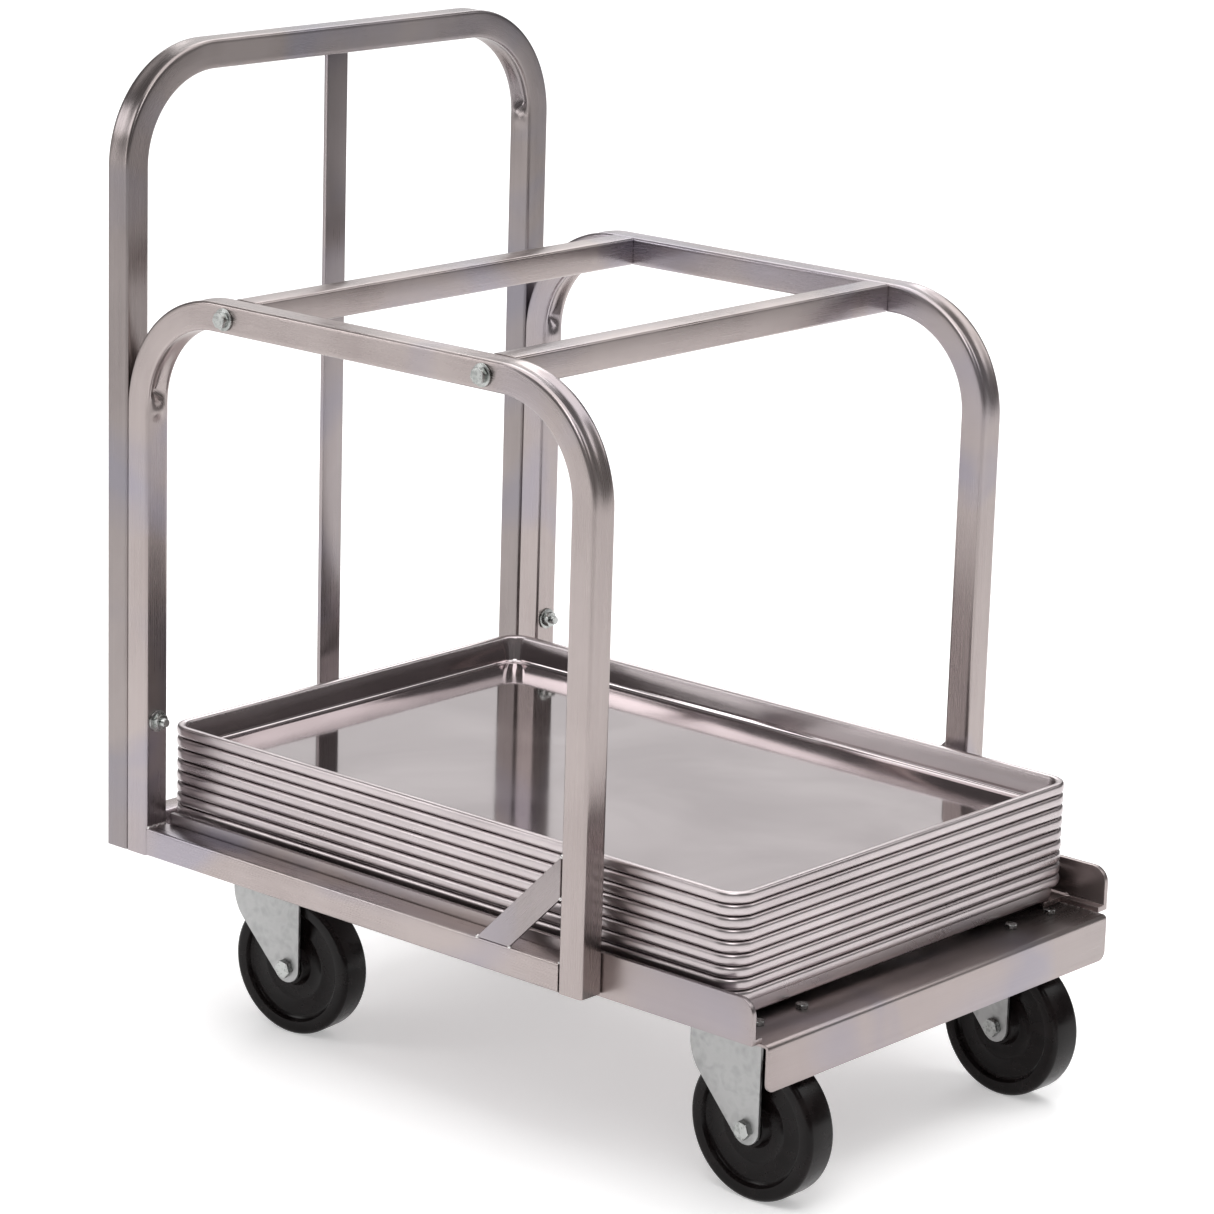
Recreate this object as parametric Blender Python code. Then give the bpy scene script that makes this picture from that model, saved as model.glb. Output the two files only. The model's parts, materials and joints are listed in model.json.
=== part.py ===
"""Sheet pan rack: an open bakery truck of bent square tube that carries a nest of sheet pans.

Units are metres and +Z is up.  Sizes are written from the rear face of the push handle (x = 0,
+X towards the open front), from the middle of the rack (y = 0, +Y is its left side) and from the
floor (z = 0).  The empty called rack then moves everything so that the origin is on the floor at
the middle of the whole rack.
"""
import math

import bmesh
import bpy
from mathutils import Vector

# ---------------------------------------------------------------- driving dimensions
GAP = 0.0003                 # between pieces that touch
CUTTER_OVERRUN = 0.005       # how far a cutter runs past the faces it cuts

PAN_LENGTH = 0.6604          # full-size sheet pan, 26 in
PAN_WIDTH = 0.4572           # 18 in
PAN_DEPTH = 0.0254
PAN_COUNT = 9
PAN_PITCH = 0.01045          # rise from one nested rim to the next
PAN_SHEET = 0.0012
PAN_CORNER_RADIUS = 0.023
PAN_BEAD_WIDTH = 0.0080      # rim rolled over a wire
PAN_BEAD_CLEARANCE = 0.0005  # between the beads of nested pans
PAN_WALL_TAPER = 0.20        # inward run of the wall for each metre of depth
PAN_FLOOR_RADIUS = 0.0045    # inside, where the wall meets the floor
PAN_CORNER_STEPS = 3

TUBE = 0.0254                # square tube, across its flats
TUBE_WALL = 0.0030
TUBE_CORNER = 0.0030         # rounding of the tube's outer corners
BEND_OUTER_RADIUS = 0.1045   # outside of every tube bend
BEND_STEPS = 6

PAN_SIDE_CLEARANCE = 0.0094  # pan rim to rail
PAN_REAR_CLEARANCE = 0.0089  # pan rim to the rear cross tube
RAIL_AHEAD_OF_PAN = 0.0310
ANGLE_LEG = 0.0381           # side rail, an equal-leg angle
ANGLE_SHEET = 0.0048
ANGLE_END_RADIUS = 0.0140    # rounding of the rail's upper front corner
ANGLE_REAR_RELIEF = 0.0037   # rail's rear end to the hoop's leg

LEG_LIFT = 0.0032            # foot of the legs above the underside of the rails
HANDLE_RISE = 0.7140         # foot of the legs to the top of the handle
HOOP_RISE = 0.5110           # foot of the legs to the top of a side hoop
HOOP_FRONT = 0.5673          # front face of the side hoops
CROSS_BAR_REAR_CLEARANCE = 0.0032   # from the end of the rear bend
CROSS_BAR_FRONT_CLEARANCE = 0.0061  # from the start of the front bend
CROSS_BAR_PLUG = 0.014       # threaded plug in each end of a cross bar
CENTER_BAR_WIDTH = 0.0254
CENTER_BAR_SHEET = 0.0048
CENTER_BAR_FROM_REAR = 0.0067
BRACE_WIDTH = 0.0254
BRACE_SHEET = 0.0032
BRACE_FOOT = 0.0546          # front leg to the near end of the brace's foot

DECK_SHEET = 0.0029
DECK_SIDE_INSET = 0.0113     # deck edge inside the rail's outer face
DECK_BEHIND_CASTER = 0.0620
LIP_AHEAD_OF_RAIL = 0.0083
LIP_DROP = 0.0405            # height of the front lip
LIP_BEND_RADIUS = 0.0040
LIP_CORNER_RADIUS = 0.0080
CENTER_SUPPORT_WIDTH = 0.0762

WHEEL_RADIUS = 0.0635
WHEEL_WIDTH = 0.0318
WHEEL_EDGE = 0.0045
WHEEL_RIM = 0.0130           # depth of the tread ring
WHEEL_RECESS = 0.0060        # how far the web lies below the rim
WHEEL_HUB_RADIUS = 0.0160
WHEEL_SIDES = 28
WHEEL_SIDE_CLEARANCE = 0.0026
CASTER_OFFSET = 0.0282       # axle ahead of the swivel axis
CASTER_CROWN_CLEARANCE = 0.0125
CASTER_PLATE_LENGTH = 0.1050
CASTER_PLATE_WIDTH = 0.0790
CASTER_PLATE_SHEET = 0.0048
CASTER_PLATE_CORNER = 0.0080
RACE_HEIGHT = 0.0080
RACE_RADIUS = 0.0330
FORK_SHEET = 0.0032
FORK_END_RADIUS = 0.0135
FORK_REAR_REACH = 0.0330     # fork crown behind the swivel axis
FORK_REAR_HEIGHT = 0.0480    # straight part of the fork's rear edge, above the axle
KINGPIN_RADIUS = 0.0060
KINGPIN_HEAD_RADIUS = 0.0120
KINGPIN_HEAD_HEIGHT = 0.0070
AXLE_RADIUS = 0.00475
AXLE_HEX = 0.0143            # across flats
BUSHING_RADIUS = 0.0080
CASTER_SIDE = 0.1709         # swivel axis from the middle of the rack
CASTER_BEHIND_RAIL_END = 0.0720
CASTER_AHEAD_OF_LEG = 0.0681

BOLT_RADIUS = 0.0040         # frame bolts
BOLT_HEX = 0.0140            # across flats
BOLT_WASHER_RADIUS = 0.0098
BOLT_WASHER = 0.0018
BOLT_HEAD = 0.0055
BOLT_TIP = 0.0050            # thread that stands out past a nut
LEG_BOLT_HEIGHT = 0.1225     # above the foot of the legs
HOLE_CLEARANCE = 0.0003

# rest attitude of each caster: front or rear, side of the rack, turn about its swivel axis
CASTERS = {
    "front_right": (True, -1, math.radians(0.0)),
    "front_left": (True, 1, math.radians(-3.4)),
    "rear_right": (False, -1, math.radians(5.8)),
    "rear_left": (False, 1, math.radians(1.5)),
}
SIDES = {"right": -1, "left": 1}

# ---------------------------------------------------------------- sizes that follow
CROWN_TOP = 2 * WHEEL_RADIUS + CASTER_CROWN_CLEARANCE + FORK_SHEET
CASTER_HEIGHT = CROWN_TOP + GAP + RACE_HEIGHT + CASTER_PLATE_SHEET
DECK_UNDERSIDE = CASTER_HEIGHT + GAP
DECK_TOP = DECK_UNDERSIDE + DECK_SHEET
ANGLE_UNDERSIDE = DECK_TOP + GAP
LEG_FOOT = ANGLE_UNDERSIDE + LEG_LIFT
HANDLE_TOP = LEG_FOOT + HANDLE_RISE
HOOP_TOP = LEG_FOOT + HOOP_RISE

RAIL_OUTER = PAN_WIDTH / 2 + PAN_SIDE_CLEARANCE + ANGLE_SHEET
LEG_INNER = RAIL_OUTER + GAP
FRAME_HALF_WIDTH = LEG_INNER + TUBE
HOOP_REAR = TUBE + GAP
PAN_REAR = TUBE + PAN_REAR_CLEARANCE
RAIL_REAR = HOOP_REAR + TUBE + ANGLE_REAR_RELIEF
RAIL_FRONT = PAN_REAR + PAN_LENGTH + RAIL_AHEAD_OF_PAN
CROSS_BAR_REAR = HOOP_REAR + BEND_OUTER_RADIUS + CROSS_BAR_REAR_CLEARANCE + TUBE / 2
CROSS_BAR_FRONT = HOOP_FRONT - BEND_OUTER_RADIUS - CROSS_BAR_FRONT_CLEARANCE - TUBE / 2
CASTER_FRONT = RAIL_FRONT - CASTER_BEHIND_RAIL_END
CASTER_REAR = HOOP_REAR + TUBE + CASTER_AHEAD_OF_LEG

FORK_INNER = WHEEL_WIDTH / 2 + WHEEL_SIDE_CLEARANCE
FORK_OUTER = FORK_INNER + FORK_SHEET
# the wheel is a polygon whose flats, not its corners, touch the floor
WHEEL_CORNER_RADIUS = WHEEL_RADIUS / math.cos(math.pi / WHEEL_SIDES)


def wheel_reach(turn):
    """How far the front of a wheel stands ahead of its caster's swivel axis."""
    tread = CASTER_OFFSET + WHEEL_RADIUS
    return tread * math.cos(turn) + (WHEEL_WIDTH / 2 - WHEEL_EDGE) * abs(math.sin(turn))


FRONT_END = max(
    RAIL_FRONT + LIP_AHEAD_OF_RAIL,
    max(CASTER_FRONT + wheel_reach(turn) for front, side, turn in CASTERS.values() if front),
)
REAR_END = -(GAP + BOLT_WASHER + BOLT_HEAD)
MIDDLE = (REAR_END + FRONT_END) / 2


# ---------------------------------------------------------------- helpers
def make_material(name, color, roughness, metallic):
    material = bpy.data.materials.new(name)
    material.use_nodes = True
    shader = material.node_tree.nodes["Principled BSDF"]
    shader.inputs["Base Color"].default_value = (*color, 1.0)
    shader.inputs["Roughness"].default_value = roughness
    shader.inputs["Metallic"].default_value = metallic
    material.diffuse_color = (*color, 1.0)
    return material


def add_empty(name, location, parent=None, turn=0.0):
    empty = bpy.data.objects.new(name, None)
    empty.location = location
    empty.rotation_euler = (0.0, 0.0, turn)
    empty.parent = parent
    bpy.context.collection.objects.link(empty)
    return empty


def add_object(name, bm, look, parent, location=(0.0, 0.0, 0.0), smooth=True):
    """Turn a bmesh into an object with its own material, faces pointing out."""
    bmesh.ops.recalc_face_normals(bm, faces=bm.faces)
    mesh = bpy.data.meshes.new(name)
    bm.to_mesh(mesh)
    bm.free()
    if smooth:
        mesh.shade_smooth()
        mesh.set_sharp_from_angle(angle=math.radians(30))
    obj = bpy.data.objects.new(name, mesh)
    obj.location = location
    obj.parent = parent
    obj.data.materials.append(make_material(name + "_material", *look))
    bpy.context.collection.objects.link(obj)
    return obj


def skin(rings, closed=False):
    """A solid over rings of equally many points.

    An open run is capped at both ends; a closed run joins its last ring to its first.
    """
    bm = bmesh.new()
    loops = [[bm.verts.new(point) for point in ring] for ring in rings]
    count = len(loops[0])
    pairs = list(zip(loops, loops[1:]))
    if closed:
        pairs.append((loops[-1], loops[0]))
    for lower, upper in pairs:
        for i in range(count):
            j = (i + 1) % count
            bm.faces.new((lower[i], lower[j], upper[j], upper[i]))
    if not closed:
        bm.faces.new(loops[0])
        bm.faces.new(loops[-1])
    return bm


def arc(center, radius, start, end, steps):
    """Points on an arc in a plane; start and end are in degrees."""
    angles = [math.radians(start + (end - start) * i / steps) for i in range(steps + 1)]
    return [(center[0] + radius * math.cos(a), center[1] + radius * math.sin(a)) for a in angles]


def rounded_rectangle(half_x, half_y, radius, steps):
    """Outline around the middle, the same number of points in every corner."""
    x, y = half_x - radius, half_y - radius
    corners = [((x, y), 0), ((-x, y), 90), ((-x, -y), 180), ((x, -y), 270)]
    return [p for center, a in corners for p in arc(center, radius, a, a + 90, steps)]


def circle(radius, sides, phase=0.5):
    """Outline with flats, not corners, on the axes when phase is a half."""
    step = 2 * math.pi / sides
    return [(radius * math.cos((i + phase) * step), radius * math.sin((i + phase) * step))
            for i in range(sides)]


def hexagon(across_flats, sides=12):
    """A hexagon with points at its corners and in the middle of its flats."""
    points = []
    for i in range(sides):
        angle = 2 * math.pi * i / sides
        from_flat = (angle + math.pi / 6) % (math.pi / 3) - math.pi / 6
        reach = across_flats / 2 / math.cos(from_flat)
        points.append((reach * math.cos(angle), reach * math.sin(angle)))
    return points


def extrude(outline, start, end, place):
    """A prism: the outline (u, v) swept from w = start to w = end, put in space by place."""
    return skin([[place(u, v, w) for u, v in outline] for w in (start, end)])


def along_x(u, v, w):
    return (w, u, v)


def along_y(u, v, w):
    return (u, w, v)


def along_z(u, v, w):
    return (u, v, w)


def cut(target, name, bm):
    """Take a cutter away from the target with a Boolean modifier."""
    bmesh.ops.recalc_face_normals(bm, faces=bm.faces)
    mesh = bpy.data.meshes.new(name)
    bm.to_mesh(mesh)
    bm.free()
    cutter = bpy.data.objects.new(name, mesh)
    cutter.parent = target.parent
    cutter.location = target.location
    cutter.hide_render = True
    cutter.display_type = "WIRE"
    bpy.context.collection.objects.link(cutter)
    modifier = target.modifiers.new(name, "BOOLEAN")
    modifier.operation = "DIFFERENCE"
    modifier.object = cutter


def cut_round_hole(target, name, radius, center, start, end, place):
    """A round hole along one axis; center is in the plane across it."""
    outline = [(center[0] + u, center[1] + v) for u, v in circle(radius, 12)]
    cut(target, name, extrude(outline, start, end, place))


# ---------------------------------------------------------------- looks
SATIN_ALUMINIUM = ((0.62, 0.59, 0.58), 0.34, 1.0)
BAR_ALUMINIUM = ((0.60, 0.57, 0.57), 0.38, 1.0)
PLATE_ALUMINIUM = ((0.58, 0.55, 0.54), 0.30, 1.0)
PAN_ALUMINIUM = ((0.66, 0.64, 0.63), 0.20, 1.0)
ZINC_STEEL = ((0.62, 0.64, 0.62), 0.32, 1.0)
BLACK_RUBBER = ((0.012, 0.009, 0.009), 0.18, 0.0)


# ---------------------------------------------------------------- tube
def tube_section():
    """Outer and inner outline of the square tube, with equally many points."""
    outer = rounded_rectangle(TUBE / 2, TUBE / 2, TUBE_CORNER, 1)
    bore = TUBE / 2 - TUBE_WALL
    inner = rounded_rectangle(bore, bore, TUBE_CORNER / 4, 1)
    return outer, inner


def tube_along(stations):
    """Hollow tube through stations; a station turns a section point into a point in space."""
    outer, inner = tube_section()
    rings = [[station(u, v) for u, v in outer] for station in stations]
    rings += [[station(u, v) for u, v in inner] for station in reversed(stations)]
    return skin(rings, closed=True)


def straight_tube(start, end, center, place):
    """Tube from w = start to w = end, around a centre in the plane across it."""
    stations = [lambda u, v, w=w: place(center[0] + u, center[1] + v, w) for w in (start, end)]
    return tube_along(stations)


def hoop_tube(first, last, foot, top, across, place, last_leg=True):
    """An inverted U: legs from the foot to two bends, and a top bar.

    first and last are the outer faces of the legs, and across is the middle of the tube across
    the plane of the hoop. Without last_leg the tube ends where its second bend ends.
    """
    bend_height = top - BEND_OUTER_RADIUS
    center_radius = BEND_OUTER_RADIUS - TUBE / 2
    rear_bend = (first + BEND_OUTER_RADIUS, bend_height)
    front_bend = (last - BEND_OUTER_RADIUS, bend_height)
    route = [((first + TUBE / 2, foot), (-1.0, 0.0))]
    for bend, begin, end in ((rear_bend, 180, 90), (front_bend, 90, 0)):
        middle_line = arc(bend, center_radius, begin, end, BEND_STEPS)
        outward = arc((0.0, 0.0), 1.0, begin, end, BEND_STEPS)
        route += list(zip(middle_line, outward))
    if last_leg:
        route.append(((last - TUBE / 2, foot), (1.0, 0.0)))
    stations = [
        lambda u, v, p=point, n=normal: place(p[0] + n[0] * u, p[1] + n[1] * u, across + v)
        for point, normal in route
    ]
    return tube_along(stations)


# ---------------------------------------------------------------- frame
def build_handle(parent):
    outer = FRAME_HALF_WIDTH
    handle = add_object(
        "handle_hoop",
        hoop_tube(-outer, outer, LEG_FOOT, HANDLE_TOP, TUBE / 2, lambda y, z, x: (x, y, z)),
        SATIN_ALUMINIUM, parent)
    for side_name, side in SIDES.items():
        cut_round_hole(handle, "handle_bolt_hole_" + side_name, BOLT_RADIUS + HOLE_CLEARANCE,
                       (side * (LEG_INNER + TUBE / 2), LEG_FOOT + LEG_BOLT_HEIGHT),
                       -CUTTER_OVERRUN, TUBE + CUTTER_OVERRUN, along_x)
    reach = LEG_INNER - GAP
    add_object("rear_cross_tube",
               straight_tube(-reach, reach, (TUBE / 2, LEG_FOOT + TUBE / 2), along_y),
               SATIN_ALUMINIUM, parent)
    half = CENTER_BAR_WIDTH / 2
    near, far = CENTER_BAR_FROM_REAR, CENTER_BAR_FROM_REAR + CENTER_BAR_SHEET
    outline = [(near, -half), (far, -half), (far, half), (near, half)]
    add_object("handle_center_bar",
               extrude(outline, LEG_FOOT + TUBE + GAP, HANDLE_TOP - TUBE - GAP, along_z),
               BAR_ALUMINIUM, parent, smooth=False)


def build_side_hoop(parent, side_name, side):
    """One bent tube; its straight front leg is an object of its own."""
    middle = side * (LEG_INNER + TUBE / 2)
    hoop = add_object(
        "side_hoop_" + side_name,
        hoop_tube(HOOP_REAR, HOOP_FRONT, LEG_FOOT, HOOP_TOP, middle, lambda x, z, y: (x, y, z),
                  last_leg=False),
        SATIN_ALUMINIUM, parent)
    add_object("side_hoop_leg_" + side_name,
               straight_tube(LEG_FOOT, HOOP_TOP - BEND_OUTER_RADIUS - GAP,
                             (HOOP_FRONT - TUBE / 2, middle), along_z),
               SATIN_ALUMINIUM, parent)
    overrun = TUBE / 2 + CUTTER_OVERRUN
    cut_round_hole(hoop, "leg_bolt_hole_" + side_name, BOLT_RADIUS + HOLE_CLEARANCE,
                   (middle, LEG_FOOT + LEG_BOLT_HEIGHT),
                   HOOP_REAR - CUTTER_OVERRUN, HOOP_REAR + TUBE + CUTTER_OVERRUN, along_x)
    for bar_name, x in (("rear", CROSS_BAR_REAR), ("front", CROSS_BAR_FRONT)):
        cut_round_hole(hoop, f"bar_bolt_hole_{bar_name}_{side_name}",
                       BOLT_RADIUS + HOLE_CLEARANCE, (x, HOOP_TOP - TUBE / 2),
                       middle - overrun, middle + overrun, along_y)
    add_object("bottom_rail_" + side_name,
               straight_tube(HOOP_REAR + TUBE + GAP, HOOP_FRONT - TUBE - GAP,
                             (middle, LEG_FOOT + TUBE / 2), along_x),
               SATIN_ALUMINIUM, parent)


def build_brace(parent, side_name, side):
    """Flat bar at 45 degrees between the rail tube and the front leg, flush outside."""
    corner_x = HOOP_FRONT - TUBE - GAP
    corner_z = LEG_FOOT + TUBE + GAP
    far = BRACE_FOOT + BRACE_WIDTH * math.sqrt(2)
    outline = [(corner_x - BRACE_FOOT, corner_z), (corner_x, corner_z + BRACE_FOOT),
               (corner_x, corner_z + far), (corner_x - far, corner_z)]
    outer = side * FRAME_HALF_WIDTH
    add_object("brace_" + side_name,
               extrude(outline, outer, outer - side * BRACE_SHEET, along_y),
               BAR_ALUMINIUM, parent, smooth=False)


def build_cross_bar(parent, bar_name, x):
    """Square tube between the hoops, with a threaded plug closing each end."""
    reach = LEG_INNER - GAP
    outer = [(x + u, HOOP_TOP - TUBE / 2 + v) for u, v in tube_section()[0]]
    bar = add_object("cross_bar_" + bar_name, extrude(outer, -reach, reach, along_y),
                     SATIN_ALUMINIUM, parent)
    inner = [(x + u, HOOP_TOP - TUBE / 2 + v) for u, v in tube_section()[1]]
    bore = reach - CROSS_BAR_PLUG
    cut(bar, f"cross_bar_{bar_name}_bore", extrude(inner, -bore, bore, along_y))
    for side_name, side in SIDES.items():
        ends = sorted((side * (bore - CUTTER_OVERRUN), side * (reach + CUTTER_OVERRUN)))
        cut_round_hole(bar, f"plug_hole_{bar_name}_{side_name}", BOLT_RADIUS + HOLE_CLEARANCE,
                       (x, HOOP_TOP - TUBE / 2), ends[0], ends[1], along_y)


def build_side_angle(parent, side_name, side):
    """Side rail: one leg stands beside the pans and the other carries them."""
    top = ANGLE_UNDERSIDE + ANGLE_LEG
    shelf_top = ANGLE_UNDERSIDE + ANGLE_SHEET
    heel = ANGLE_SHEET / 2
    outline = [(RAIL_OUTER, ANGLE_UNDERSIDE + heel), (RAIL_OUTER, top),
               (RAIL_OUTER - ANGLE_SHEET, top), (RAIL_OUTER - ANGLE_SHEET, shelf_top),
               (RAIL_OUTER - ANGLE_LEG, shelf_top), (RAIL_OUTER - ANGLE_LEG, ANGLE_UNDERSIDE),
               (RAIL_OUTER - heel, ANGLE_UNDERSIDE)]
    outline = [(side * y, z) for y, z in outline]
    bm = extrude(outline, RAIL_REAR, RAIL_FRONT, along_x)
    front_top = [edge for edge in bm.edges
                 if all(abs(vert.co.x - RAIL_FRONT) < GAP and abs(vert.co.z - top) < GAP
                        for vert in edge.verts)]
    bmesh.ops.bevel(bm, geom=front_top, offset=ANGLE_END_RADIUS, segments=5, profile=0.5,
                    affect="EDGES", clamp_overlap=True)
    add_object("side_angle_" + side_name, bm, PLATE_ALUMINIUM, parent)


def build_decks(parent):
    """Plates under the rails that carry the casters, the front one bent down into a lip."""
    half = RAIL_OUTER - DECK_SIDE_INSET
    face = RAIL_FRONT + LIP_AHEAD_OF_RAIL
    rear = CASTER_FRONT - DECK_BEHIND_CASTER
    outside, inside = LIP_BEND_RADIUS, LIP_BEND_RADIUS - DECK_SHEET
    bend = (face - outside, DECK_TOP - outside)
    bottom = DECK_TOP - LIP_DROP
    outline = [(rear, DECK_UNDERSIDE), (rear, DECK_TOP)]
    outline += arc(bend, outside, 90, 0, 4)
    outline += [(face, bottom), (face - DECK_SHEET, bottom)]
    outline += arc(bend, inside, 0, 90, 4)
    bm = extrude(outline, -half, half, along_y)
    corners = [edge for edge in bm.edges
               if all(abs(vert.co.z - bottom) < GAP for vert in edge.verts)
               and abs(edge.verts[0].co.y - edge.verts[1].co.y) < GAP]
    bmesh.ops.bevel(bm, geom=corners, offset=LIP_CORNER_RADIUS, segments=4, profile=0.5,
                    affect="EDGES", clamp_overlap=True)
    add_object("front_deck_plate", bm, PLATE_ALUMINIUM, parent)

    rear_deck = (CASTER_REAR - DECK_BEHIND_CASTER, CASTER_REAR + DECK_BEHIND_CASTER)
    middle = (RAIL_REAR + RAIL_FRONT) / 2
    support = (middle - CENTER_SUPPORT_WIDTH / 2, middle + CENTER_SUPPORT_WIDTH / 2)
    for name, (start, end) in (("rear_deck_plate", rear_deck), ("center_support", support)):
        outline = [(start, -half), (end, -half), (end, half), (start, half)]
        add_object(name, extrude(outline, DECK_UNDERSIDE, DECK_TOP, along_z),
                   PLATE_ALUMINIUM, parent, smooth=False)


# ---------------------------------------------------------------- frame bolts
def bolt_with_head(length, nut_at=None):
    """A hex bolt with a washer; its length runs to +Z from under the washer."""
    shank = circle(BOLT_RADIUS, 12, phase=0.0)
    washer = circle(BOLT_WASHER_RADIUS, 12, phase=0.0)
    head = hexagon(BOLT_HEX)
    levels = [(-BOLT_WASHER - BOLT_HEAD, head), (-BOLT_WASHER, head), (-BOLT_WASHER, washer),
              (0.0, washer), (0.0, shank)]
    if nut_at is not None:
        nut_end = nut_at + BOLT_WASHER + BOLT_HEAD
        levels += [(nut_at, shank), (nut_at, washer), (nut_at + BOLT_WASHER, washer),
                   (nut_at + BOLT_WASHER, head), (nut_end, head), (nut_end, shank)]
    levels.append((length, shank))
    return levels


def build_bolts(parent):
    for side_name, side in SIDES.items():
        face = FRAME_HALF_WIDTH + GAP
        length = TUBE + CROSS_BAR_PLUG + GAP + BOLT_TIP
        for bar_name, x in (("rear", CROSS_BAR_REAR), ("front", CROSS_BAR_FRONT)):
            rings = [[(u, -side * w, v) for u, v in outline]
                     for w, outline in bolt_with_head(length)]
            add_object(f"cross_bar_bolt_{bar_name}_{side_name}", skin(rings), ZINC_STEEL, parent,
                       (x, side * face, HOOP_TOP - TUBE / 2), smooth=False)
        nut_at = 2 * TUBE + 3 * GAP
        length = nut_at + BOLT_WASHER + BOLT_HEAD + BOLT_TIP
        rings = [[(w, u, v) for u, v in outline]
                 for w, outline in bolt_with_head(length, nut_at)]
        add_object("leg_bolt_" + side_name, skin(rings), ZINC_STEEL, parent,
                   (-GAP, side * (LEG_INNER + TUBE / 2), LEG_FOOT + LEG_BOLT_HEIGHT),
                   smooth=False)


# ---------------------------------------------------------------- pans
def pan_profile():
    """Section of a pan from the underside round the rim to the inside floor: (inset, height)."""
    bead_height = PAN_PITCH - PAN_BEAD_CLEARANCE
    bead_bottom = PAN_DEPTH - bead_height
    wall_top = PAN_DEPTH - PAN_BEAD_WIDTH / 3
    skirt = PAN_SHEET * math.sqrt(1 + PAN_WALL_TAPER ** 2)

    def inside(height):
        return PAN_BEAD_WIDTH + (wall_top - height) * PAN_WALL_TAPER

    def outside(height):
        return inside(height) - skirt

    turn = PAN_SHEET + PAN_FLOOR_RADIUS
    rim = PAN_BEAD_WIDTH
    return [
        (outside(turn) + turn, 0.0),
        (outside(turn) + turn * 0.30, turn * 0.30),
        (outside(turn), turn),
        (outside(bead_bottom), bead_bottom),
        (rim * 0.30, bead_bottom),
        (0.0, bead_bottom + rim * 0.30),
        (0.0, PAN_DEPTH - rim * 0.38),
        (rim * 0.32, PAN_DEPTH),
        (rim * 0.68, PAN_DEPTH),
        (inside(wall_top), wall_top),
        (inside(turn), turn),
        (inside(turn) + PAN_FLOOR_RADIUS * 0.30, PAN_SHEET + PAN_FLOOR_RADIUS * 0.30),
        (inside(turn) + PAN_FLOOR_RADIUS, PAN_SHEET),
    ]


def build_pans(parent):
    shelf = ANGLE_UNDERSIDE + ANGLE_SHEET + GAP
    rings = []
    for inset, height in pan_profile():
        radius = max(PAN_CORNER_RADIUS - inset, PAN_SHEET)
        outline = rounded_rectangle(PAN_LENGTH / 2 - inset, PAN_WIDTH / 2 - inset, radius,
                                    PAN_CORNER_STEPS)
        rings.append([(x, y, height) for x, y in outline])
    for i in range(PAN_COUNT):
        add_object(f"pan_{i + 1}", skin(rings), PAN_ALUMINIUM, parent,
                   (PAN_REAR + PAN_LENGTH / 2, 0.0, shelf + i * PAN_PITCH))


# ---------------------------------------------------------------- casters
def fork_outline():
    """Side of the fork, around the axle: a round end that widens into the crown."""
    top = CROWN_TOP - WHEEL_RADIUS
    rear = -CASTER_OFFSET - FORK_REAR_REACH
    rear_corner = (rear, FORK_REAR_HEIGHT)
    distance = math.hypot(*rear_corner)
    toward = math.degrees(math.atan2(rear_corner[1], rear_corner[0]))
    tangent = toward + math.degrees(math.acos(FORK_END_RADIUS / distance))
    outline = arc((0.0, 0.0), FORK_END_RADIUS, tangent, 360, 6)
    return outline + [(FORK_END_RADIUS, top), (rear, top), rear_corner]


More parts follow.
